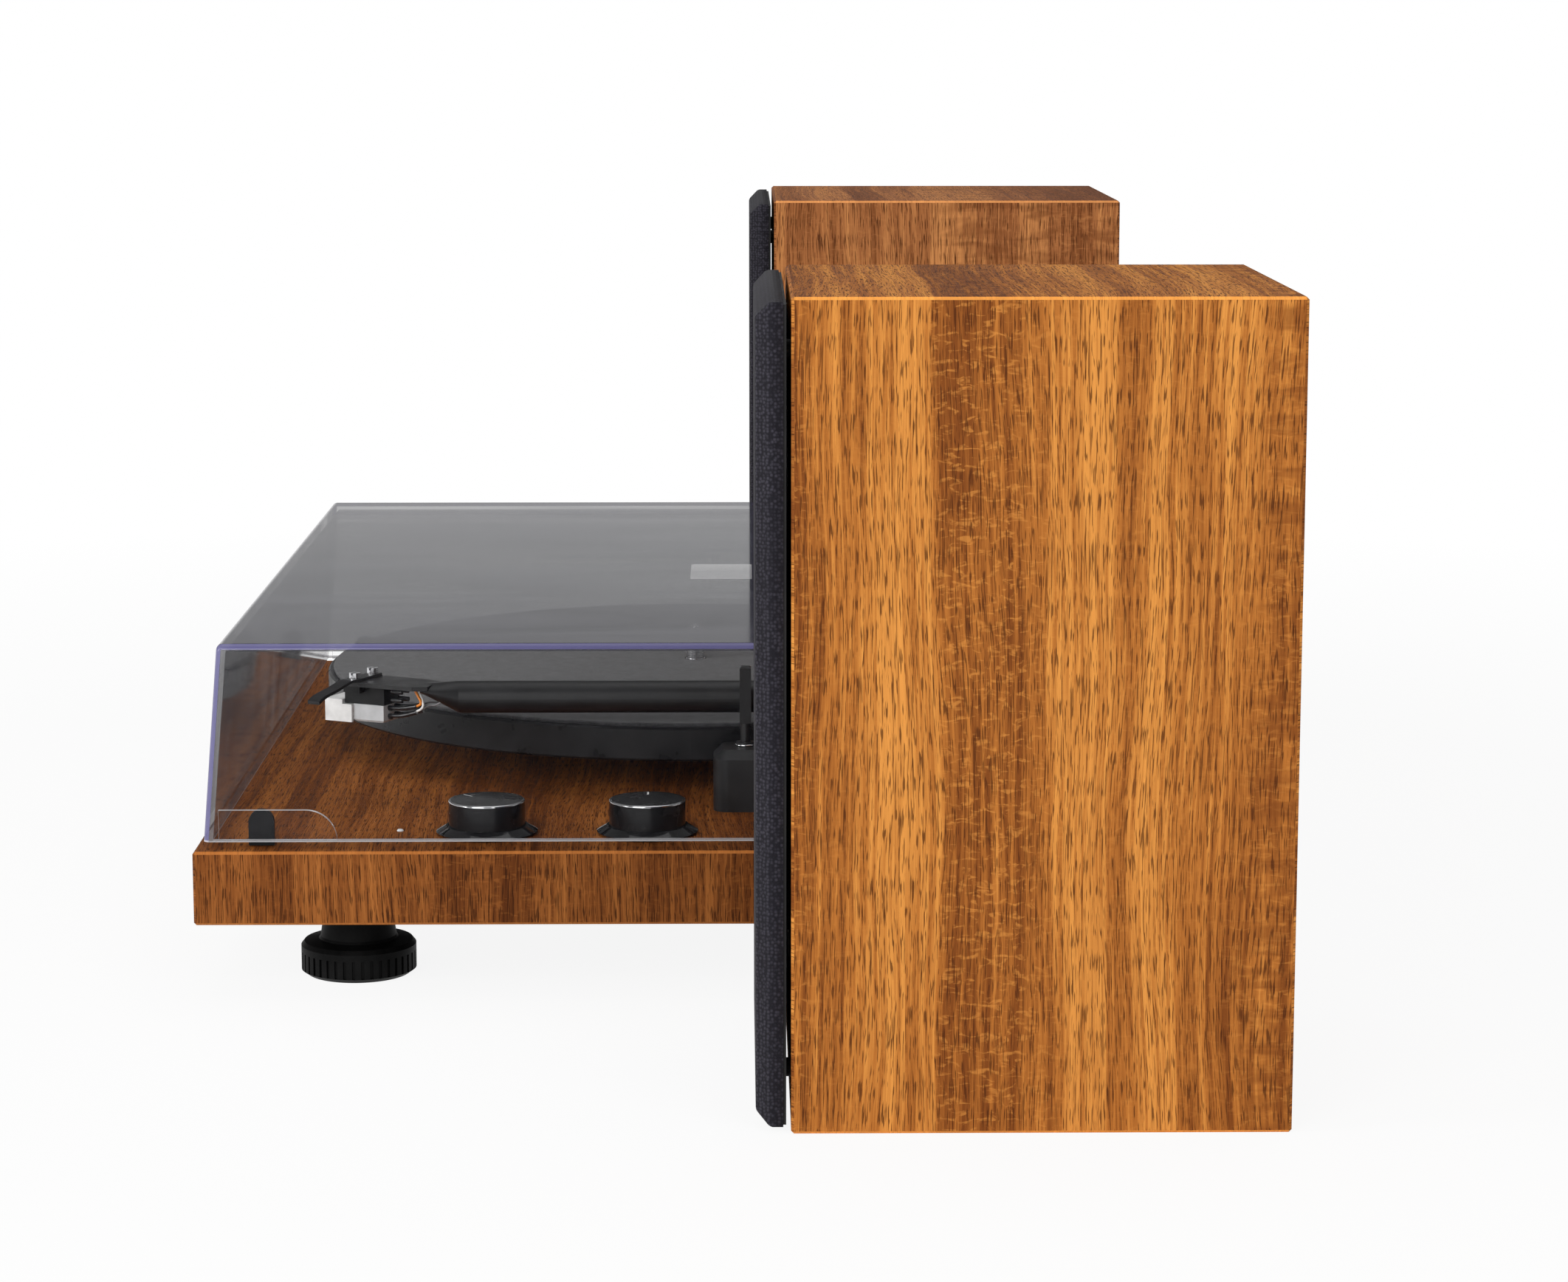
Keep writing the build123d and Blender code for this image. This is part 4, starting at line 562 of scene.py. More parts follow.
@dataclass(frozen=True)
class Acrylic:
    """Polished clear sheet, lightly smoked, that hazes at a low angle, with a tint and a highlight
    painted along its edges.

    A shell gives its half width, top, front, lean and foot, which place its painted edge tint and
    painted foot highlight, and a small strip gives the strength of the highlight painted on its cut
    faces.
    """

    name: str
    colour: Colour = (0.040, 0.040, 0.056)
    clear: float = 0.015
    low_angle: float = 0.88
    roughness: float = 0.04
    # The edge colour is a painted reflection along the shell's edges, and the width below is the
    # width of that painted band.
    edge: Colour = (0.135, 0.125, 0.290)
    painted_band_width: float = 0.0022
    # The bright colour is a painted highlight, and the height below is that of the painted highlight
    # line at the shell's foot.
    bright: Colour = (0.95, 0.95, 0.97)
    painted_lip_highlight: float = 0.0007
    half_width: float = 0.0
    top: float = 0.0
    front: float = 0.0
    lean: float = 0.0
    foot: float = 0.0
    # The rim value is the strength of a highlight painted on a strip's cut faces.
    rim: float = 0.0

    def near(self, graph: Graph, distance: bpy.types.NodeSocket) -> bpy.types.NodeSocket:
        """Tell what lies within the painted edge band's width of a face.

        Args:
            graph: the material being made.
            distance: how far in from the face, in metres.

        Returns:
            1 there, 0 elsewhere, with a soft limit.
        """
        return graph.grade(distance, self.painted_band_width * 0.8, self.painted_band_width, 1.0, 0.0)

    def edges(self, graph: Graph) -> bpy.types.NodeSocket:
        """Find the shell's upper and front edges on both sides, where the edge tint is painted.

        Args:
            graph: the material being made.

        Returns:
            1 along the edges, 0 elsewhere.
        """
        x, y, z = graph.split(graph.place())
        side = self.near(graph, graph.math("SUBTRACT", self.half_width, graph.math("ABSOLUTE", x)))
        above = self.near(graph, graph.math("SUBTRACT", self.top, z))
        rise = graph.math("MULTIPLY", graph.math("SUBTRACT", z, self.foot), self.lean)
        ahead = graph.math("SUBTRACT", graph.math("SUBTRACT", y, self.front), rise)
        return graph.math("MULTIPLY", side, graph.math("MAXIMUM", above, self.near(graph, ahead)))

    def make(self) -> bpy.types.Material:
        """Build the sheet.

        Returns:
            The material.
        """
        graph = Graph(self.name)
        place = graph.place()
        smears = graph.noise(graph.stretch(place, (20.0, 5.0, 9.0)), 1.0, 4.0, 0.6, 1.2)
        dust = graph.noise(place, 2400.0, 1.0, 0.5)
        weight = graph.add("ShaderNodeLayerWeight")
        weight.inputs["Blend"].default_value = 0.5
        haze = graph.grade(weight.outputs["Facing"], 0.50, 0.84, self.clear, self.low_angle)
        haze = graph.math("MULTIPLY", haze, graph.grade(smears, 0.35, 0.60, 0.86, 1.0))
        speck = graph.grade(dust, 0.80, 0.86, 0.0, 0.20)
        pale = tuple(min(1.0, c * 1.5) for c in self.colour)
        sheet = graph.ramp(smears, [(0.35, self.colour), (0.70, pale)])
        alpha = graph.math("MAXIMUM", haze, speck)
        if self.half_width:
            # Painted reflection: a blue-violet tint along the shell's upper and front edges, made
            # more opaque there.
            edges = self.edges(graph)
            sheet = graph.blend(edges, sheet, self.edge)
            alpha = graph.math("MAXIMUM", alpha, graph.math("MULTIPLY", edges, 0.80))
            # Painted highlight: a bright line along the shell's foot.
            lip = graph.math("SUBTRACT", graph.split(place)[2], self.foot)
            line = graph.grade(lip, self.painted_lip_highlight * 0.6, self.painted_lip_highlight, 0.55, 0.0)
            sheet = graph.blend(line, sheet, self.bright)
            alpha = graph.math("MAXIMUM", alpha, line)
        if self.rim:
            # Painted highlight on the strip's faces that do not face along X.
            across = graph.math("ABSOLUTE", graph.facing()[0])
            painted_strip_glint = graph.grade(across, 0.50, 0.80, self.rim, 0.0)
            sheet = graph.blend(painted_strip_glint, sheet, self.bright)
            alpha = graph.math("MAXIMUM", alpha, painted_strip_glint)
        graph.principled(
            Base_Color=sheet,
            Roughness=graph.grade(smears, 0.3, 0.7, self.roughness, self.roughness * 2.0),
            Alpha=alpha,
            Specular_IOR_Level=0.5,
        )
        return graph.material


@dataclass(frozen=True)
class GrilleCloth:
    """Black knitted grille cloth with a fine pebbled weave, with shade painted into the gaps between
    its loops.
    """

    name: str
    colour: Colour = (0.011, 0.010, 0.014)
    pitch: float = 0.0011

    def make(self) -> bpy.types.Material:
        """Build the knit.

        Returns:
            The material.
        """
        graph = Graph(self.name)
        place = graph.place()
        knit = graph.add("ShaderNodeTexVoronoi", feature="F1")
        knit.inputs["Scale"].default_value = 1.0 / self.pitch
        knit.inputs["Randomness"].default_value = 0.55
        graph.join(place, knit.inputs["Vector"])
        loops = knit.outputs["Distance"]
        slack = graph.noise(place, 30.0, 3.0, 0.6)
        pale = tuple(c * 3.4 + 0.010 for c in self.colour)
        # Painted shade: loop tops lighter and the gaps between the loops darker, following the bump.
        loop_shade_colour = graph.ramp(loops, [(0.15, pale), (0.62, self.colour)])
        graph.principled(
            Base_Color=graph.blend(graph.grade(slack, 0.3, 0.7, 0.0, 0.35), loop_shade_colour, self.colour),
            Roughness=0.82,
            Specular_IOR_Level=0.10,
            Sheen_Weight=0.06,
            Sheen_Roughness=0.5,
            Normal=graph.bump(graph.math("MULTIPLY", loops, -1.0), 0.00035, 1.0),
        )
        return graph.material


@dataclass(frozen=True)
class Felt:
    """Pressed felt: short fibres in all directions that catch a low light."""

    name: str
    colour: Colour = (0.016, 0.016, 0.017)
    fibre: Colour = (0.105, 0.105, 0.112)

    def make(self) -> bpy.types.Material:
        """Build the felt.

        Returns:
            The material.
        """
        graph = Graph(self.name)
        place = graph.place()
        fibres = graph.noise(place, 2600.0, 3.0, 0.7, 1.5)
        clumps = graph.noise(place, 300.0, 3.0, 0.6)
        tone = graph.math(
            "ADD",
            graph.math("MULTIPLY", fibres, 0.75),
            graph.math("MULTIPLY", clumps, 0.25),
        )
        graph.principled(
            Base_Color=graph.ramp(tone, [(0.40, self.colour), (0.62, self.fibre)]),
            Roughness=0.9,
            Specular_IOR_Level=0.1,
            Sheen_Weight=0.30,
            Sheen_Roughness=0.45,
            Normal=graph.bump(fibres, 0.0002, 1.0),
        )
        return graph.material


def only(obj: bpy.types.Object) -> bpy.types.Object:
    """Select one object alone and make it active.

    Args:
        obj: the object.

    Returns:
        The same object.
    """
    bpy.ops.object.select_all(action="DESELECT")
    obj.select_set(True)
    bpy.context.view_layer.objects.active = obj
    return obj


def settle(obj: bpy.types.Object, name: str, material: bpy.types.Material) -> bpy.types.Object:
    """Name a new piece, put its place into its mesh and dress it.

    Args:
        obj: the new piece.
        name: its name.
        material: its finish.

    Returns:
        The finished piece.
    """
    only(obj)
    bpy.ops.object.transform_apply(location=True, rotation=True, scale=True)
    obj.name = name
    obj.data.name = name
    obj.data.materials.clear()
    obj.data.materials.append(material)
    return obj


def smooth(obj: bpy.types.Object) -> None:
    """Shade all faces of an object smooth."""
    for polygon in obj.data.polygons:
        polygon.use_smooth = True


def dress(nodes: Iterable[str], material: bpy.types.Material) -> None:
    """Give CAD nodes their finish.

    Args:
        nodes: the nodes' names.
        material: their finish.
    """
    for name in nodes:
        node = frame["nodes"][name]
        node.data.materials.clear()
        node.data.materials.append(material)
        log.info("dressed %s in %s", name, material.name)


@dataclass
class Cabinets:
    """The two speakers: veneered boxes, drivers and cloth-covered grilles."""

    wood_right: Walnut = Walnut(
        "walnut_right",
        front=0.026,
        rear=0.182,
        flitches=(
            (0.0, 0.75), (0.05, 0.25), (0.27, 0.15), (0.285, 0.85), (0.42, 0.95),
            (0.50, 0.45), (0.58, 0.10), (0.66, 0.30), (0.88, 0.20), (0.95, 0.55),
        ),
        shift=0.31,
    )
    wood_left: Walnut = Walnut(
        "walnut_left",
        front=0.026,
        rear=0.182,
        flitches=((0.0, 0.30), (0.30, 0.40), (0.45, 0.10), (0.60, 0.25), (0.85, 0.60)),
        light=(0.560, 0.230, 0.074),
        middle=(0.370, 0.135, 0.044),
        dark=(0.190, 0.060, 0.018),
        shift=1.73,
        curl=(0.40, 0.55),
    )
    cloth: GrilleCloth = GrilleCloth("grille_cloth")
    bevel: float = 0.0044
    rounding: float = 0.0009
    thickness: float = 0.0005
    open_back: float = 0.0012
    turn_in: float = 0.001

    def stretch_cloth(self, side: Side, material: bpy.types.Material) -> bpy.types.Object:
        """Model the cloth that is stretched over one grille.

        Args:
            side: which speaker.
            material: the cloth's finish.

        Returns:
            The cloth.
        """
        word = side.name.lower()
        low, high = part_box("grille_cloth_" + word)
        size = high - low
        bpy.ops.object.select_all(action="DESELECT")
        bpy.ops.mesh.primitive_cube_add(size=1.0, location=(low + high) / 2)
        cloth = bpy.context.object
        cloth.scale = size
        only(cloth)
        bpy.ops.object.transform_apply(location=True, rotation=True, scale=True)
        bpy.ops.object.mode_set(mode="EDIT")
        bpy.ops.mesh.select_mode(type="EDGE")
        bpy.ops.mesh.select_all(action="DESELECT")
        bpy.ops.object.mode_set(mode="OBJECT")
        for edge in cloth.data.edges:
            ends = [cloth.data.vertices[v].co for v in edge.vertices]
            edge.select = all(abs(p.y - low.y) < 1e-5 for p in ends)
        bpy.ops.object.mode_set(mode="EDIT")
        bpy.ops.mesh.bevel(offset=self.bevel, segments=1, affect="EDGES")
        bpy.ops.mesh.select_all(action="SELECT")
        bpy.ops.mesh.bevel(offset=self.rounding, segments=3, affect="EDGES")
        bpy.ops.mesh.select_mode(type="FACE")
        bpy.ops.mesh.select_all(action="DESELECT")
        bpy.ops.object.mode_set(mode="OBJECT")
        for face in cloth.data.polygons:
            face.select = face.center.y > high.y - self.open_back
        bpy.ops.object.mode_set(mode="EDIT")
        bpy.ops.mesh.delete(type="FACE")
        bpy.ops.object.mode_set(mode="OBJECT")
        smooth(cloth)
        settle(cloth, "cloth_" + word, material)
        only(cloth)
        thick = cloth.modifiers.new("thickness", "SOLIDIFY")
        thick.thickness = self.thickness
        thick.offset = -1.0
        bpy.ops.object.modifier_apply(modifier="thickness")
        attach(cloth, "grille_" + word)
        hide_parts("grille_cloth_" + word)
        log.info("stretched the %s grille cloth", word)
        return cloth

    def build(self) -> None:
        """Dress both speakers and stretch their cloths."""
        dress(["cabinet_right"], self.wood_right.make())
        dress(["cabinet_left"], self.wood_left.make())
        dress(["speaker_baffles"], Moulding("baffle_paint", (0.012, 0.012, 0.012), 0.6).make())
        dress(
            ["grille_frame_left", "grille_frame_right", "terminal_cups", "port_tubes"],
            Moulding("black_moulding", (0.016, 0.016, 0.016), 0.5, Surface.GRAINED).make(),
        )
        dress(["woofer_frames"], Moulding("frame_paint", (0.02, 0.02, 0.02), 0.35).make())
        dress(
            ["woofer_cones"],
            Moulding("paper_cone", (0.035, 0.033, 0.032), 0.8, Surface.GRAINED).make(),
        )
        dress(["tweeters"], Moulding("tweeter_moulding", (0.02, 0.02, 0.021), 0.3).make())
        dress(["terminal_posts"], TurnedMetal("gold_plate", (0.83, 0.60, 0.24), 0.2).make())
        material = self.cloth.make()
        for side in Side:
            self.stretch_cloth(side, material)


@dataclass
class Knob:
    """One knob's trim: the bright line round its top and the white pointer mark."""

    node: str
    body: str
    pointer: float
    radius: float = 0.0137
    mark_length: float = 0.0052
    mark_width: float = 0.0007
    mark_height: float = 0.0003
    mark_inset: float = 0.0034
    mark_depth: float = 0.00022
    line_inset: float = 0.00065
    line_rise: float = 0.00006

    def centre(self) -> Vector:
        """Return the middle of the knob's top face."""
        low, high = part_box(self.node)
        return Vector(((low.x + high.x) / 2, (low.y + high.y) / 2, high.z))

    def rim(self, material: bpy.types.Material) -> bpy.types.Object:
        """Spin the bright line round the top edge.

        Args:
            material: the bright finish.

        Returns:
            The rim.
        """
        middle = self.centre()
        bpy.ops.object.select_all(action="DESELECT")
        bpy.ops.mesh.primitive_circle_add(
            vertices=96,
            radius=self.radius - self.line_inset,
            location=middle + Vector((0, 0, self.line_rise)),
        )
        rim = bpy.context.object
        bpy.ops.object.mode_set(mode="EDIT")
        bpy.ops.mesh.select_all(action="SELECT")
        for grow, drop in ((1.018, 0.0), (1.035, -0.00032), (1.0, -0.00034)):
            bpy.ops.mesh.extrude_region_move(TRANSFORM_OT_translate={"value": (0, 0, drop)})
            bpy.ops.transform.resize(value=(grow, grow, 1.0))
        bpy.ops.object.mode_set(mode="OBJECT")
        settle(rim, self.node + "_rim", material)
        smooth(rim)
        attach(rim, self.body)
        return rim

    def mark(self, material: bpy.types.Material) -> bpy.types.Object:
        """Model the white pointer mark in the knob's groove.

        Args:
            material: the mark's paint.

        Returns:
            The mark.
        """
        middle = self.centre()
        turn = Matrix.Rotation(math.radians(self.pointer), 4, "Z")
        reach = Vector((self.radius - self.mark_inset, 0, -self.mark_depth))
        bpy.ops.object.select_all(action="DESELECT")
        bpy.ops.mesh.primitive_cube_add(size=1.0)
        mark = bpy.context.object
        mark.matrix_world = (
            Matrix.Translation(middle)
            @ turn
            @ Matrix.Translation(reach)
            @ Matrix.Diagonal((self.mark_length, self.mark_width, self.mark_height, 1.0))
        )
        only(mark)
        bpy.ops.object.transform_apply(location=True, rotation=True, scale=True)
        bpy.ops.object.mode_set(mode="EDIT")
        bpy.ops.mesh.select_all(action="SELECT")
        bpy.ops.mesh.bevel(offset=0.0001, segments=2, affect="EDGES")
        bpy.ops.object.mode_set(mode="OBJECT")
        settle(mark, self.node + "_mark", material)
        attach(mark, self.body)
        return mark


@dataclass
class Controls:
    """The two knobs, their brims and the small lamp."""

    knobs: tuple[Knob, ...] = (
        Knob("volume_knob", "volume_knob", -135.0),
        Knob("tone_knob", "tone_knob", 180.0),
    )

    def build(self) -> None:
        """Dress the controls and add their trim."""
        satin = Moulding("knob_black", (0.010, 0.010, 0.011), 0.24, Surface.SATIN, coat=0.15)
        dress(["volume_knob", "tone_knob"], satin.make())
        gloss = Moulding("brim_gloss", (0.008, 0.008, 0.009), 0.10, Surface.POLISHED, coat=0.4)
        dress(["knob_bezels"], gloss.make())
        lens = Moulding("lamp_lens", (0.75, 0.78, 0.80), 0.12, Surface.POLISHED)
        dress(["power_lamp"], lens.make())
        bright = TurnedMetal("knob_line", (0.78, 0.78, 0.80), 0.12).make()
        white = Moulding("pointer_white", (0.85, 0.85, 0.83), 0.5).make()
        for knob in self.knobs:
            knob.rim(bright)
            knob.mark(white)
            log.info("trimmed %s", knob.node)


@dataclass
class Player:
    """The plinth with its feet, drive and rear panel."""

    wood: Walnut = Walnut(
        "walnut_plinth",
        front=-0.182,
        rear=0.168,
        flitches=((0.0, 0.35), (0.14, 0.20), (0.30, 0.65), (0.45, 0.30), (0.70, 0.70), (1.0, 0.3)),
        # These tones are partly a darker plinth veneer and partly painted shade, dimmed for the
        # plinth's shaded side.
        light=(0.370, 0.128, 0.030),
        middle=(0.225, 0.070, 0.016),
        dark=(0.100, 0.028, 0.007),
        pore=(0.040, 0.012, 0.004),
        shift=0.83,
        curl=(0.98, 1.0),
    )
    fittings: tuple[tuple[tuple[str, ...], Moulding | TurnedMetal], ...] = (
        (
            ("foot_front_right", "foot_front_left", "foot_rear_right", "foot_rear_left"),
            Moulding("foot_moulding", (0.0030, 0.0030, 0.0030), 0.50, specular=0.06),
        ),
        (
            ("bottom_cover", "bottom_screws", "rear_panel"),
            Moulding("panel_paint", (0.014, 0.014, 0.015), 0.45, Surface.GRAINED),
        ),
        (("power_inlet",), Moulding("inlet_moulding", (0.02, 0.02, 0.02), 0.5)),
        (("phono_jacks", "speaker_posts"), TurnedMetal("socket_gold", (0.83, 0.60, 0.24))),
        (("control_board",), Moulding("board_mask", (0.02, 0.10, 0.04), 0.4)),
        (
            ("motor", "potentiometers", "hinge_pins", "spindle", "arm_pillar"),
            TurnedMetal("bright_steel", (0.62, 0.62, 0.64), 0.25),
        ),
        (
            ("hinge_brackets", "cover_hinge_leaves"),
            TurnedMetal("hinge_chrome", (0.74, 0.74, 0.76), 0.10),
        ),
        (("motor_pulley", "spindle_bearing"), TurnedMetal("turned_brass", (0.72, 0.52, 0.22))),
    )

    def build(self) -> None:
        """Dress the plinth and what is fixed to it."""
        dress(["plinth"], self.wood.make())
        for nodes, finish in self.fittings:
            dress(nodes, finish.make())


@dataclass
class Turntable:
    """The platter, its felt mat and what drives it."""

    hole: float = 0.0043
    corner: float = 0.0003
    edge_round: float = 0.0002
    sag: float = 0.00002

    def felt(self, material: bpy.types.Material) -> bpy.types.Object:
        """Model the felt mat that lies on the platter.

        Args:
            material: the felt's finish.

        Returns:
            The mat.
        """
        low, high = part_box("platter_mat")
        middle = (low + high) / 2
        radius = (high.x - low.x) / 2
        rise = high.z - low.z
        profile = [
            (self.hole, low.z),
            (self.hole, high.z - self.corner),
            (self.hole + self.corner, high.z),
            (radius * 0.35, high.z - self.sag),
            (radius * 0.70, high.z - 2 * self.sag),
            (radius - 4 * self.edge_round, high.z - self.sag),
            (radius - self.edge_round, high.z - self.corner),
            (radius, high.z - rise / 2),
            (radius - self.edge_round, low.z),
        ]
        mesh = bpy.data.meshes.new("felt_profile")
        corners = [(middle.x + reach, middle.y, height) for reach, height in profile]
        last = len(corners) - 1
        edges = [(i, i + 1) for i in range(last)] + [(last, 0)]
        mesh.from_pydata(corners, edges, [])
        felt = bpy.data.objects.new("felt_mat", mesh)
        bpy.context.scene.collection.objects.link(felt)
        only(felt)
        bpy.ops.object.mode_set(mode="EDIT")
        bpy.ops.mesh.select_all(action="SELECT")
        bpy.ops.mesh.spin(
            steps=144, angle=2 * math.pi, center=(middle.x, middle.y, 0.0), axis=(0, 0, 1)
        )
        bpy.ops.mesh.select_all(action="SELECT")
        bpy.ops.mesh.remove_doubles(threshold=0.00001)
        bpy.ops.mesh.normals_make_consistent(inside=False)
        bpy.ops.object.mode_set(mode="OBJECT")
        settle(felt, "felt_mat", material)
        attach(felt, "platter")
        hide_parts("platter_mat")
        log.info("laid the felt mat")
        return felt

    def build(self) -> None:
        """Dress the platter and its drive, and lay the mat."""
        rim = Moulding("platter_paint", (0.012, 0.012, 0.013), 0.30, Surface.SATIN)
        dress(["platter"], rim.make())
        self.felt(Felt("felt").make())
        dress(["sub_platter"], Moulding("drum_moulding", (0.012, 0.012, 0.012), 0.5).make())
        dress(["drive_belt"], Moulding("belt_rubber", (0.012, 0.012, 0.012), 0.6).make())


@dataclass
class Lead:
    """One thin lead or sleeve of the cartridge, placed along, across and above the head."""

    name: str
    way: tuple[Point, ...]
    colour: Colour
    radius: float = 0.00034
    roughness: float = 0.30
    head: tuple[float, float] = (0.1147, -0.1080)
    turn: float = math.radians(26.0)

    def place(self, along: float, across: float, height: float) -> Point:
        """Turn a place on the head into a place in the frame.

        Args:
            along: how far forward of the head's origin.
            across: how far to its right.
            height: how high above the table.

        Returns:
            The place, in metres.
        """
        sine, cosine = math.sin(self.turn), math.cos(self.turn)
        return (
            self.head[0] - sine * along + cosine * across,
            self.head[1] - cosine * along - sine * across,
            height,
        )

    def build(self) -> bpy.types.Object:
        """Model the lead.

        Returns:
            The lead.
        """
        bpy.ops.object.select_all(action="DESELECT")
        data = bpy.data.curves.new(self.name, "CURVE")
        data.dimensions = "3D"
        data.bevel_depth = self.radius
        data.bevel_resolution = 3
        data.use_fill_caps = True
        data.resolution_u = 8
        path = data.splines.new("BEZIER")
        path.bezier_points.add(len(self.way) - 1)
        for point, spot in zip(path.bezier_points, self.way):
            point.co = self.place(*spot)
            point.handle_left_type = point.handle_right_type = "AUTO"
        lead = bpy.data.objects.new(self.name, data)
        bpy.context.scene.collection.objects.link(lead)
        only(lead)
        bpy.ops.object.convert(target="MESH")
        lead = bpy.context.object
        finish = Moulding(self.name + "_skin", self.colour, self.roughness, specular=0.6)
        settle(lead, self.name, finish.make())
        smooth(lead)
        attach(lead, "arm")
        return lead


@dataclass
class Tonearm:
    """The tonearm, its head with the cartridge, and its base."""

    sleeve_black: Colour = (0.012, 0.012, 0.014)
    leads: tuple[Lead, ...] = (
        Lead(
            "lead_orange",
            ((0.0012, 0.0023, 0.0896), (-0.0008, 0.0022, 0.0910),
             (0.0004, 0.0020, 0.0935), (0.0024, 0.0016, 0.0961)),
            (0.850, 0.250, 0.012),
            0.00050,
        ),
        Lead(
            "lead_white",
            ((0.0012, 0.0023, 0.0876), (-0.0016, 0.0022, 0.0896),
             (-0.0012, 0.0016, 0.0920), (0.0006, 0.0010, 0.0950)),
            (0.820, 0.820, 0.800),
            0.00045,
        ),
        Lead(
            "lead_dark",
            ((0.0012, -0.0023, 0.0896), (-0.0020, -0.0016, 0.0908),
             (-0.0060, -0.0008, 0.0914), (-0.0090, -0.0004, 0.0922)),
            (0.030, 0.030, 0.032),
        ),
        Lead(
            "lead_grey",
            ((0.0012, -0.0023, 0.0876), (-0.0022, -0.0012, 0.0896),
             (-0.0064, 0.0002, 0.0906), (-0.0092, 0.0004, 0.0922)),
            (0.220, 0.220, 0.230),
        ),
    )
    sleeve_rows: tuple[tuple[str, Point], ...] = (
        ("upper", (0.0884, 0.0886, 0.0897)),
        ("lower", (0.0853, 0.0858, 0.0875)),
    )
    sleeve_stops: Point = (0.0131, 0.0070, 0.0008)
    sleeve_across: float = 0.0023
    sleeve_radius: float = 0.00085
    rest_post: tuple[float, float] = (0.1233, 0.0123)
    ring_radius: float = 0.00375
    ring_wire: float = 0.00038
    ring_lift: float = 0.0004

    def sleeves(self) -> list[Lead]:
        """Lay out the four sleeves behind the cartridge, in two rows.

        Returns:
            The sleeves.
        """
        made = []
        for row, heights in self.sleeve_rows:
            for side, across in (("near", self.sleeve_across), ("far", -self.sleeve_across)):
                way = tuple((stop, across, z) for stop, z in zip(self.sleeve_stops, heights))
                made.append(
                    Lead(f"sleeve_{row}_{side}", way, self.sleeve_black, self.sleeve_radius, 0.16)
                )
        return made

    def ring(self, material: bpy.types.Material) -> bpy.types.Object:
        """Model the bright ring round the foot of the arm rest's post.

        Args:
            material: the bright finish.

        Returns:
            The ring.
        """
        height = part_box("arm_base")[1].z + self.ring_lift
        bpy.ops.object.select_all(action="DESELECT")
        bpy.ops.mesh.primitive_torus_add(
            location=(*self.rest_post, height),
            major_segments=64,
            minor_segments=12,
            major_radius=self.ring_radius,
            minor_radius=self.ring_wire,
        )
        ring = settle(bpy.context.object, "rest_ring", material)
        smooth(ring)
        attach(ring, "base")
        return ring

    def build(self) -> None:
        """Dress the arm, and add its leads and the ring under its rest."""
        paint = Moulding("arm_paint", (0.010, 0.010, 0.011), 0.40, Surface.SATIN, specular=0.40)
        dress(
            ["arm_tube", "finger_lift", "arm_block", "arm_yoke", "counterweight", "cue_lift"],
            paint.make(),
        )
        moulded = Moulding("arm_moulding", (0.011, 0.011, 0.012), 0.38, Surface.SATIN, specular=0.35)
        dress(["arm_base", "arm_rest", "cue_lever", "anti_skate_dial"], moulded.make())
        dress(["cartridge"], Moulding("cartridge_shell", (0.010, 0.010, 0.010), 0.35).make())
        dress(["stylus_holder"], Moulding("holder_grey", (0.52, 0.53, 0.54), 0.35).make())
        dress(["stylus_guard"], Moulding("guard_white", (0.80, 0.80, 0.79), 0.35).make())
        dress(["headshell_screws"], TurnedMetal("screw_steel", (0.70, 0.70, 0.72), 0.2).make())
        sleeve = Moulding("lead_sleeve", (0.020, 0.020, 0.022), 0.22, specular=0.6)
        dress(["cartridge_wires"], sleeve.make())
        for lead in (*self.leads, *self.sleeves()):
            lead.build()
        self.ring(TurnedMetal("ring_chrome", (0.80, 0.80, 0.82), 0.10).make())


@dataclass
class Cover:
    """The clear dust cover with its strips, bumpers and small bare label."""

    lean: float = 0.085
    label_middle: tuple[float, float] = (0.023, 0.003)
    label_size: tuple[float, float] = (0.041, 0.024)
    label_rise: float = 0.00012
    label_corner: float = 0.0015
    label_border: float = 0.0004
    label_film: float = 0.0001

    def label(self, material: bpy.types.Material) -> bpy.types.Object:
        """Model the bare label film on the cover's top.

        Args:
            material: the film's finish.

        Returns:
            The label.
        """
        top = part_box("dust_cover")[1].z
        bpy.ops.object.select_all(action="DESELECT")
        bpy.ops.mesh.primitive_plane_add(
            size=1.0, location=(*self.label_middle, top + self.label_rise)
        )
        label = bpy.context.object
        label.scale = (*self.label_size, 1.0)
        only(label)
        bpy.ops.object.transform_apply(location=True, rotation=True, scale=True)
        bpy.ops.object.mode_set(mode="EDIT")
        bpy.ops.mesh.select_all(action="SELECT")
        bpy.ops.mesh.bevel(offset=self.label_corner, segments=4, affect="VERTICES")
        bpy.ops.mesh.inset(thickness=self.label_border)
        bpy.ops.object.mode_set(mode="OBJECT")
        settle(label, "cover_label", material)
        only(label)
        thick = label.modifiers.new("film", "SOLIDIFY")
        thick.thickness = self.label_film
        bpy.ops.object.modifier_apply(modifier="film")
        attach(label, "cover")
        return label

    def build(self) -> None:
        """Dress the cover and add its label."""
        low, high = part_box("dust_cover")
        # The shell's size places the painted edge tint and the painted highlight at its foot.
        shell = Acrylic(
            "smoked_acrylic",
            half_width=high.x,
            top=high.z,
            front=low.y,
            lean=self.lean,
            foot=low.z,
        )
        dress(["dust_cover"], shell.make())
        # The strip's rim value paints a highlight on its cut faces.
        strip = Acrylic("clear_strip", (0.30, 0.30, 0.33), 0.01, 0.5, rim=0.85)
        dress(["cover_tabs"], strip.make())
        dress(["cover_bumpers"], Moulding("bumper_rubber", (0.010, 0.010, 0.011), 0.55).make())
        self.label(Acrylic("label_film", (0.70, 0.70, 0.72), 0.20, 0.45).make())
        log.info("dressed the dust cover")


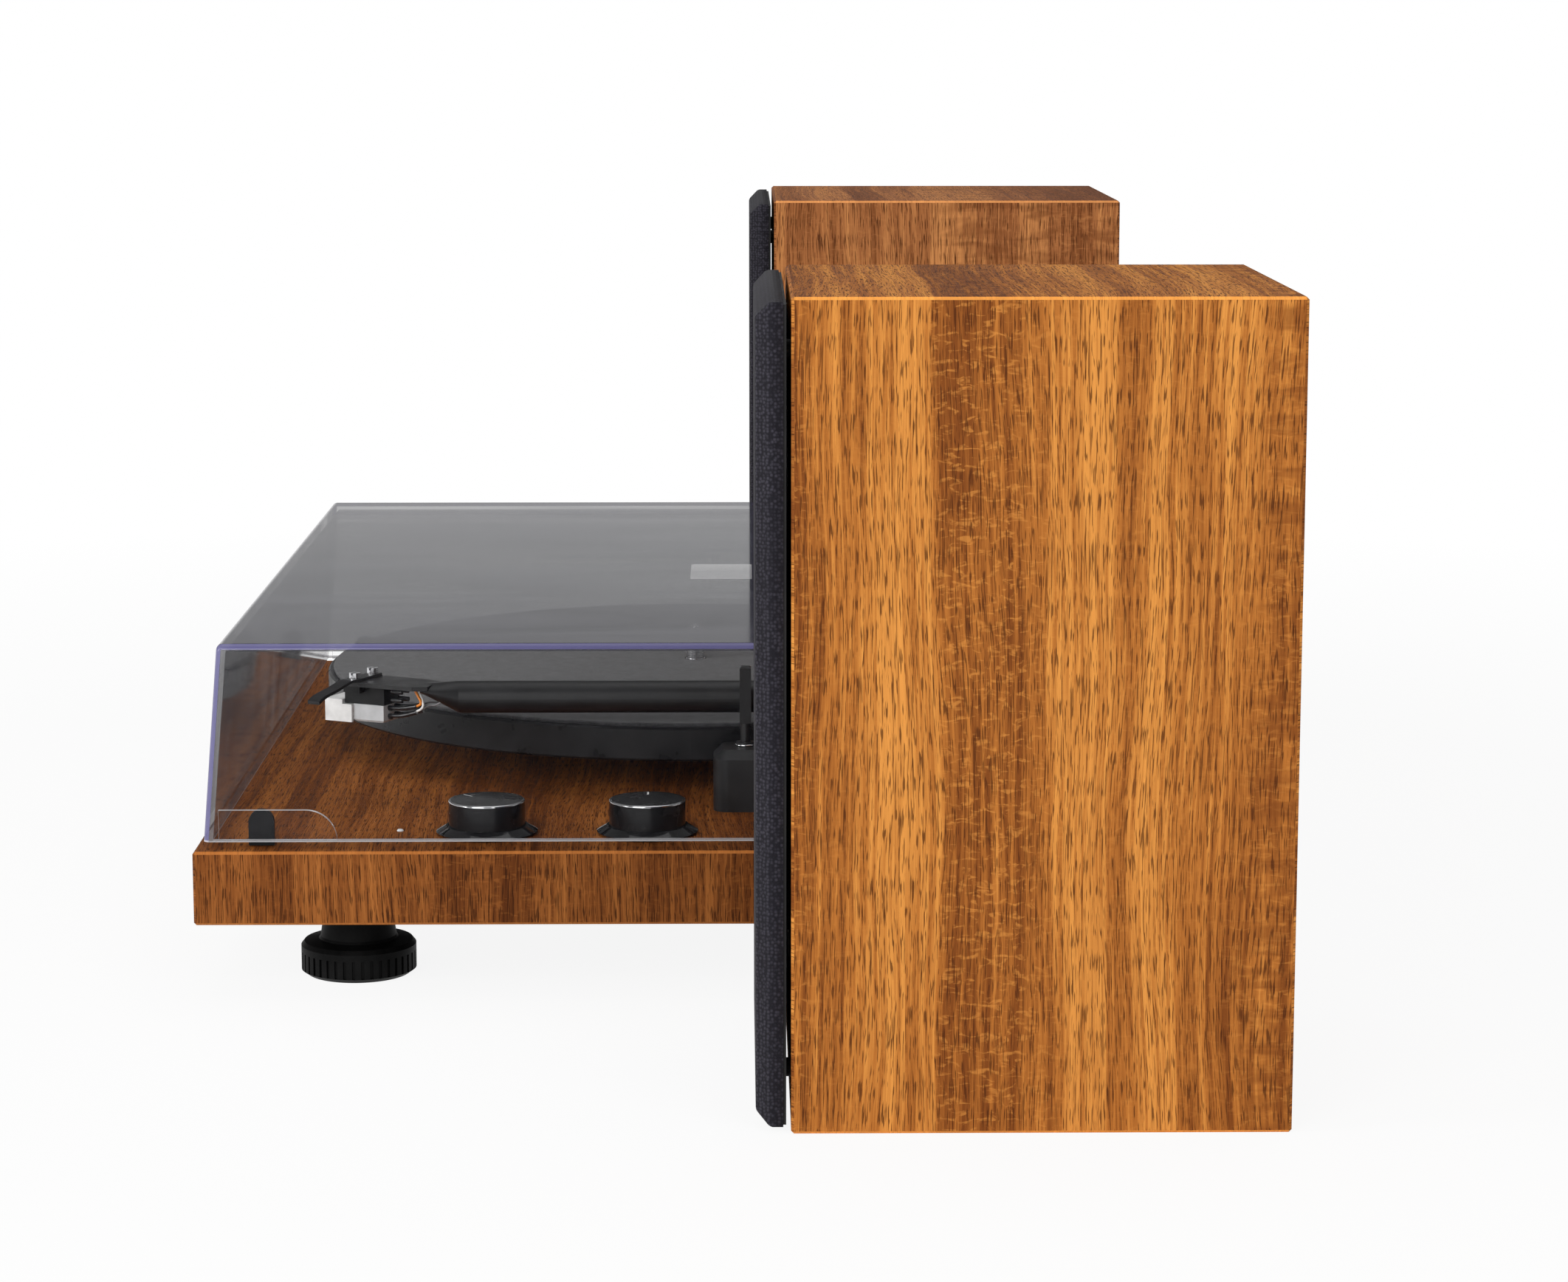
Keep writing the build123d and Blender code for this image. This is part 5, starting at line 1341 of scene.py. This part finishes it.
@dataclass
class Studio:
    """The floor, the backdrop, the lamps and the camera."""

    eye: Point = (1.5356, 0.0106, 0.3455)
    yaw: float = 0.648
    pitch: float = 9.261
    lens: float = 89.03
    room: float = 0.36
    wall: tuple[tuple[float, float], ...] = ((0.03, 1.0), (0.17, 0.34), (0.45, 0.20))
    floor_side: float = 24.0
    floor_tone: float = 0.86
    pool: tuple[float, float] = (0.45, 1.1)
    pool_share: float = 0.90
    lamps: list[tuple[str, Point, Point, float, float]] = field(
        default_factory=lambda: [
            ("key", (2.4, -1.1, 1.1), (0.1, 0.0, 0.1), 1.5, 31.0),
            ("fill", (2.1, 1.4, 1.2), (0.1, 0.0, 0.1), 1.5, 16.0),
            ("top", (-0.2, 0.1, 2.4), (0.0, 0.0, 0.0), 2.0, 12.0),
            ("front", (0.9, -2.2, 0.7), (0.3, 0.0, 0.12), 0.8, 22.0),
        ]
    )

    def floor(self) -> None:
        """Lay the pale floor."""
        bpy.ops.object.select_all(action="DESELECT")
        bpy.ops.mesh.primitive_plane_add(size=self.floor_side, location=(0.0, 0.0, 0.0))
        floor = bpy.context.object
        graph = Graph("pale_floor")
        diffuse = graph.add("ShaderNodeBsdfDiffuse")
        diffuse.inputs["Color"].default_value = (*(self.floor_tone,) * 3, 1.0)
        glow = graph.add("ShaderNodeEmission")
        glow.inputs["Color"].default_value = (1.0, 1.0, 1.0, 1.0)
        glow.inputs["Strength"].default_value = 1.0
        away = graph.add("ShaderNodeVectorMath", operation="LENGTH")
        graph.join(graph.place(), away.inputs[0])
        white = graph.grade(away.outputs["Value"], *self.pool, self.pool_share, 1.0)
        share = graph.math("MULTIPLY", self.seen_directly(graph), white)
        mix = graph.add("ShaderNodeMixShader")
        graph.join(share, mix.inputs[0])
        graph.join(diffuse.outputs[0], mix.inputs[1])
        graph.join(glow.outputs[0], mix.inputs[2])
        graph.join(mix.outputs[0], graph.output.inputs["Surface"])
        settle(floor, "floor", graph.material)

    def seen_directly(self, graph: Graph) -> bpy.types.NodeSocket:
        """Tell camera, glossy and transmission rays from the rest.

        Args:
            graph: the node tree that reads it.

        Returns:
            1 for those rays, 0 for the others.
        """
        path = graph.add("ShaderNodeLightPath")
        first = graph.math(
            "MAXIMUM", path.outputs["Is Camera Ray"], path.outputs["Is Glossy Ray"]
        )
        return graph.math("MAXIMUM", first, path.outputs["Is Transmission Ray"])

    def backdrop(self) -> None:
        """Make the world white to the camera and a soft fill to the object."""
        world = bpy.data.worlds.new("backdrop")
        bpy.context.scene.world = world
        graph = Graph(world)
        up = graph.split(graph.add("ShaderNodeTexCoord").outputs["Generated"])[2]
        wall = graph.ramp(up, [(place, (level,) * 3) for place, level in self.wall])
        strength = graph.add("ShaderNodeMix")
        graph.join(self.seen_directly(graph), strength.inputs[0])
        strength.inputs[2].default_value = self.room
        graph.join(wall, strength.inputs[3])
        light = graph.add("ShaderNodeBackground")
        light.inputs["Color"].default_value = (1.0, 1.0, 1.0, 1.0)
        graph.join(strength.outputs[0], light.inputs["Strength"])
        graph.join(light.outputs[0], graph.output.inputs["Surface"])

    def light(self) -> None:
        """Hang the soft lamps."""
        for name, place, aim, size, power in self.lamps:
            data = bpy.data.lights.new(name, "AREA")
            data.energy = power
            data.size = size
            lamp = bpy.data.objects.new(name, data)
            bpy.context.scene.collection.objects.link(lamp)
            lamp.location = place
            way = Vector(aim) - Vector(place)
            lamp.rotation_euler = way.to_track_quat("-Z", "Y").to_euler()

    def camera(self) -> None:
        """Set up the camera at the photograph's angle."""
        data = bpy.data.cameras.new("camera")
        data.lens = self.lens
        data.sensor_width = 36.0
        camera = bpy.data.objects.new("camera", data)
        bpy.context.scene.collection.objects.link(camera)
        camera.location = self.eye
        yaw, pitch = math.radians(self.yaw), math.radians(self.pitch)
        way = Vector(
            (-math.cos(yaw) * math.cos(pitch), math.sin(yaw) * math.cos(pitch), -math.sin(pitch))
        )
        camera.rotation_euler = way.to_track_quat("-Z", "Y").to_euler()
        bpy.context.scene.camera = camera

    def build(self) -> None:
        """Make the whole studio."""
        bpy.context.scene.view_settings.view_transform = "Standard"
        self.floor()
        self.backdrop()
        self.light()
        self.camera()


def main() -> None:
    """Build every sub-assembly in order."""
    logging.basicConfig(level=logging.INFO)
    Studio().build()
    Player().build()
    Turntable().build()
    Controls().build()
    Tonearm().build()
    Cover().build()
    Cabinets().build()


if __name__ == "__main__":
    main()
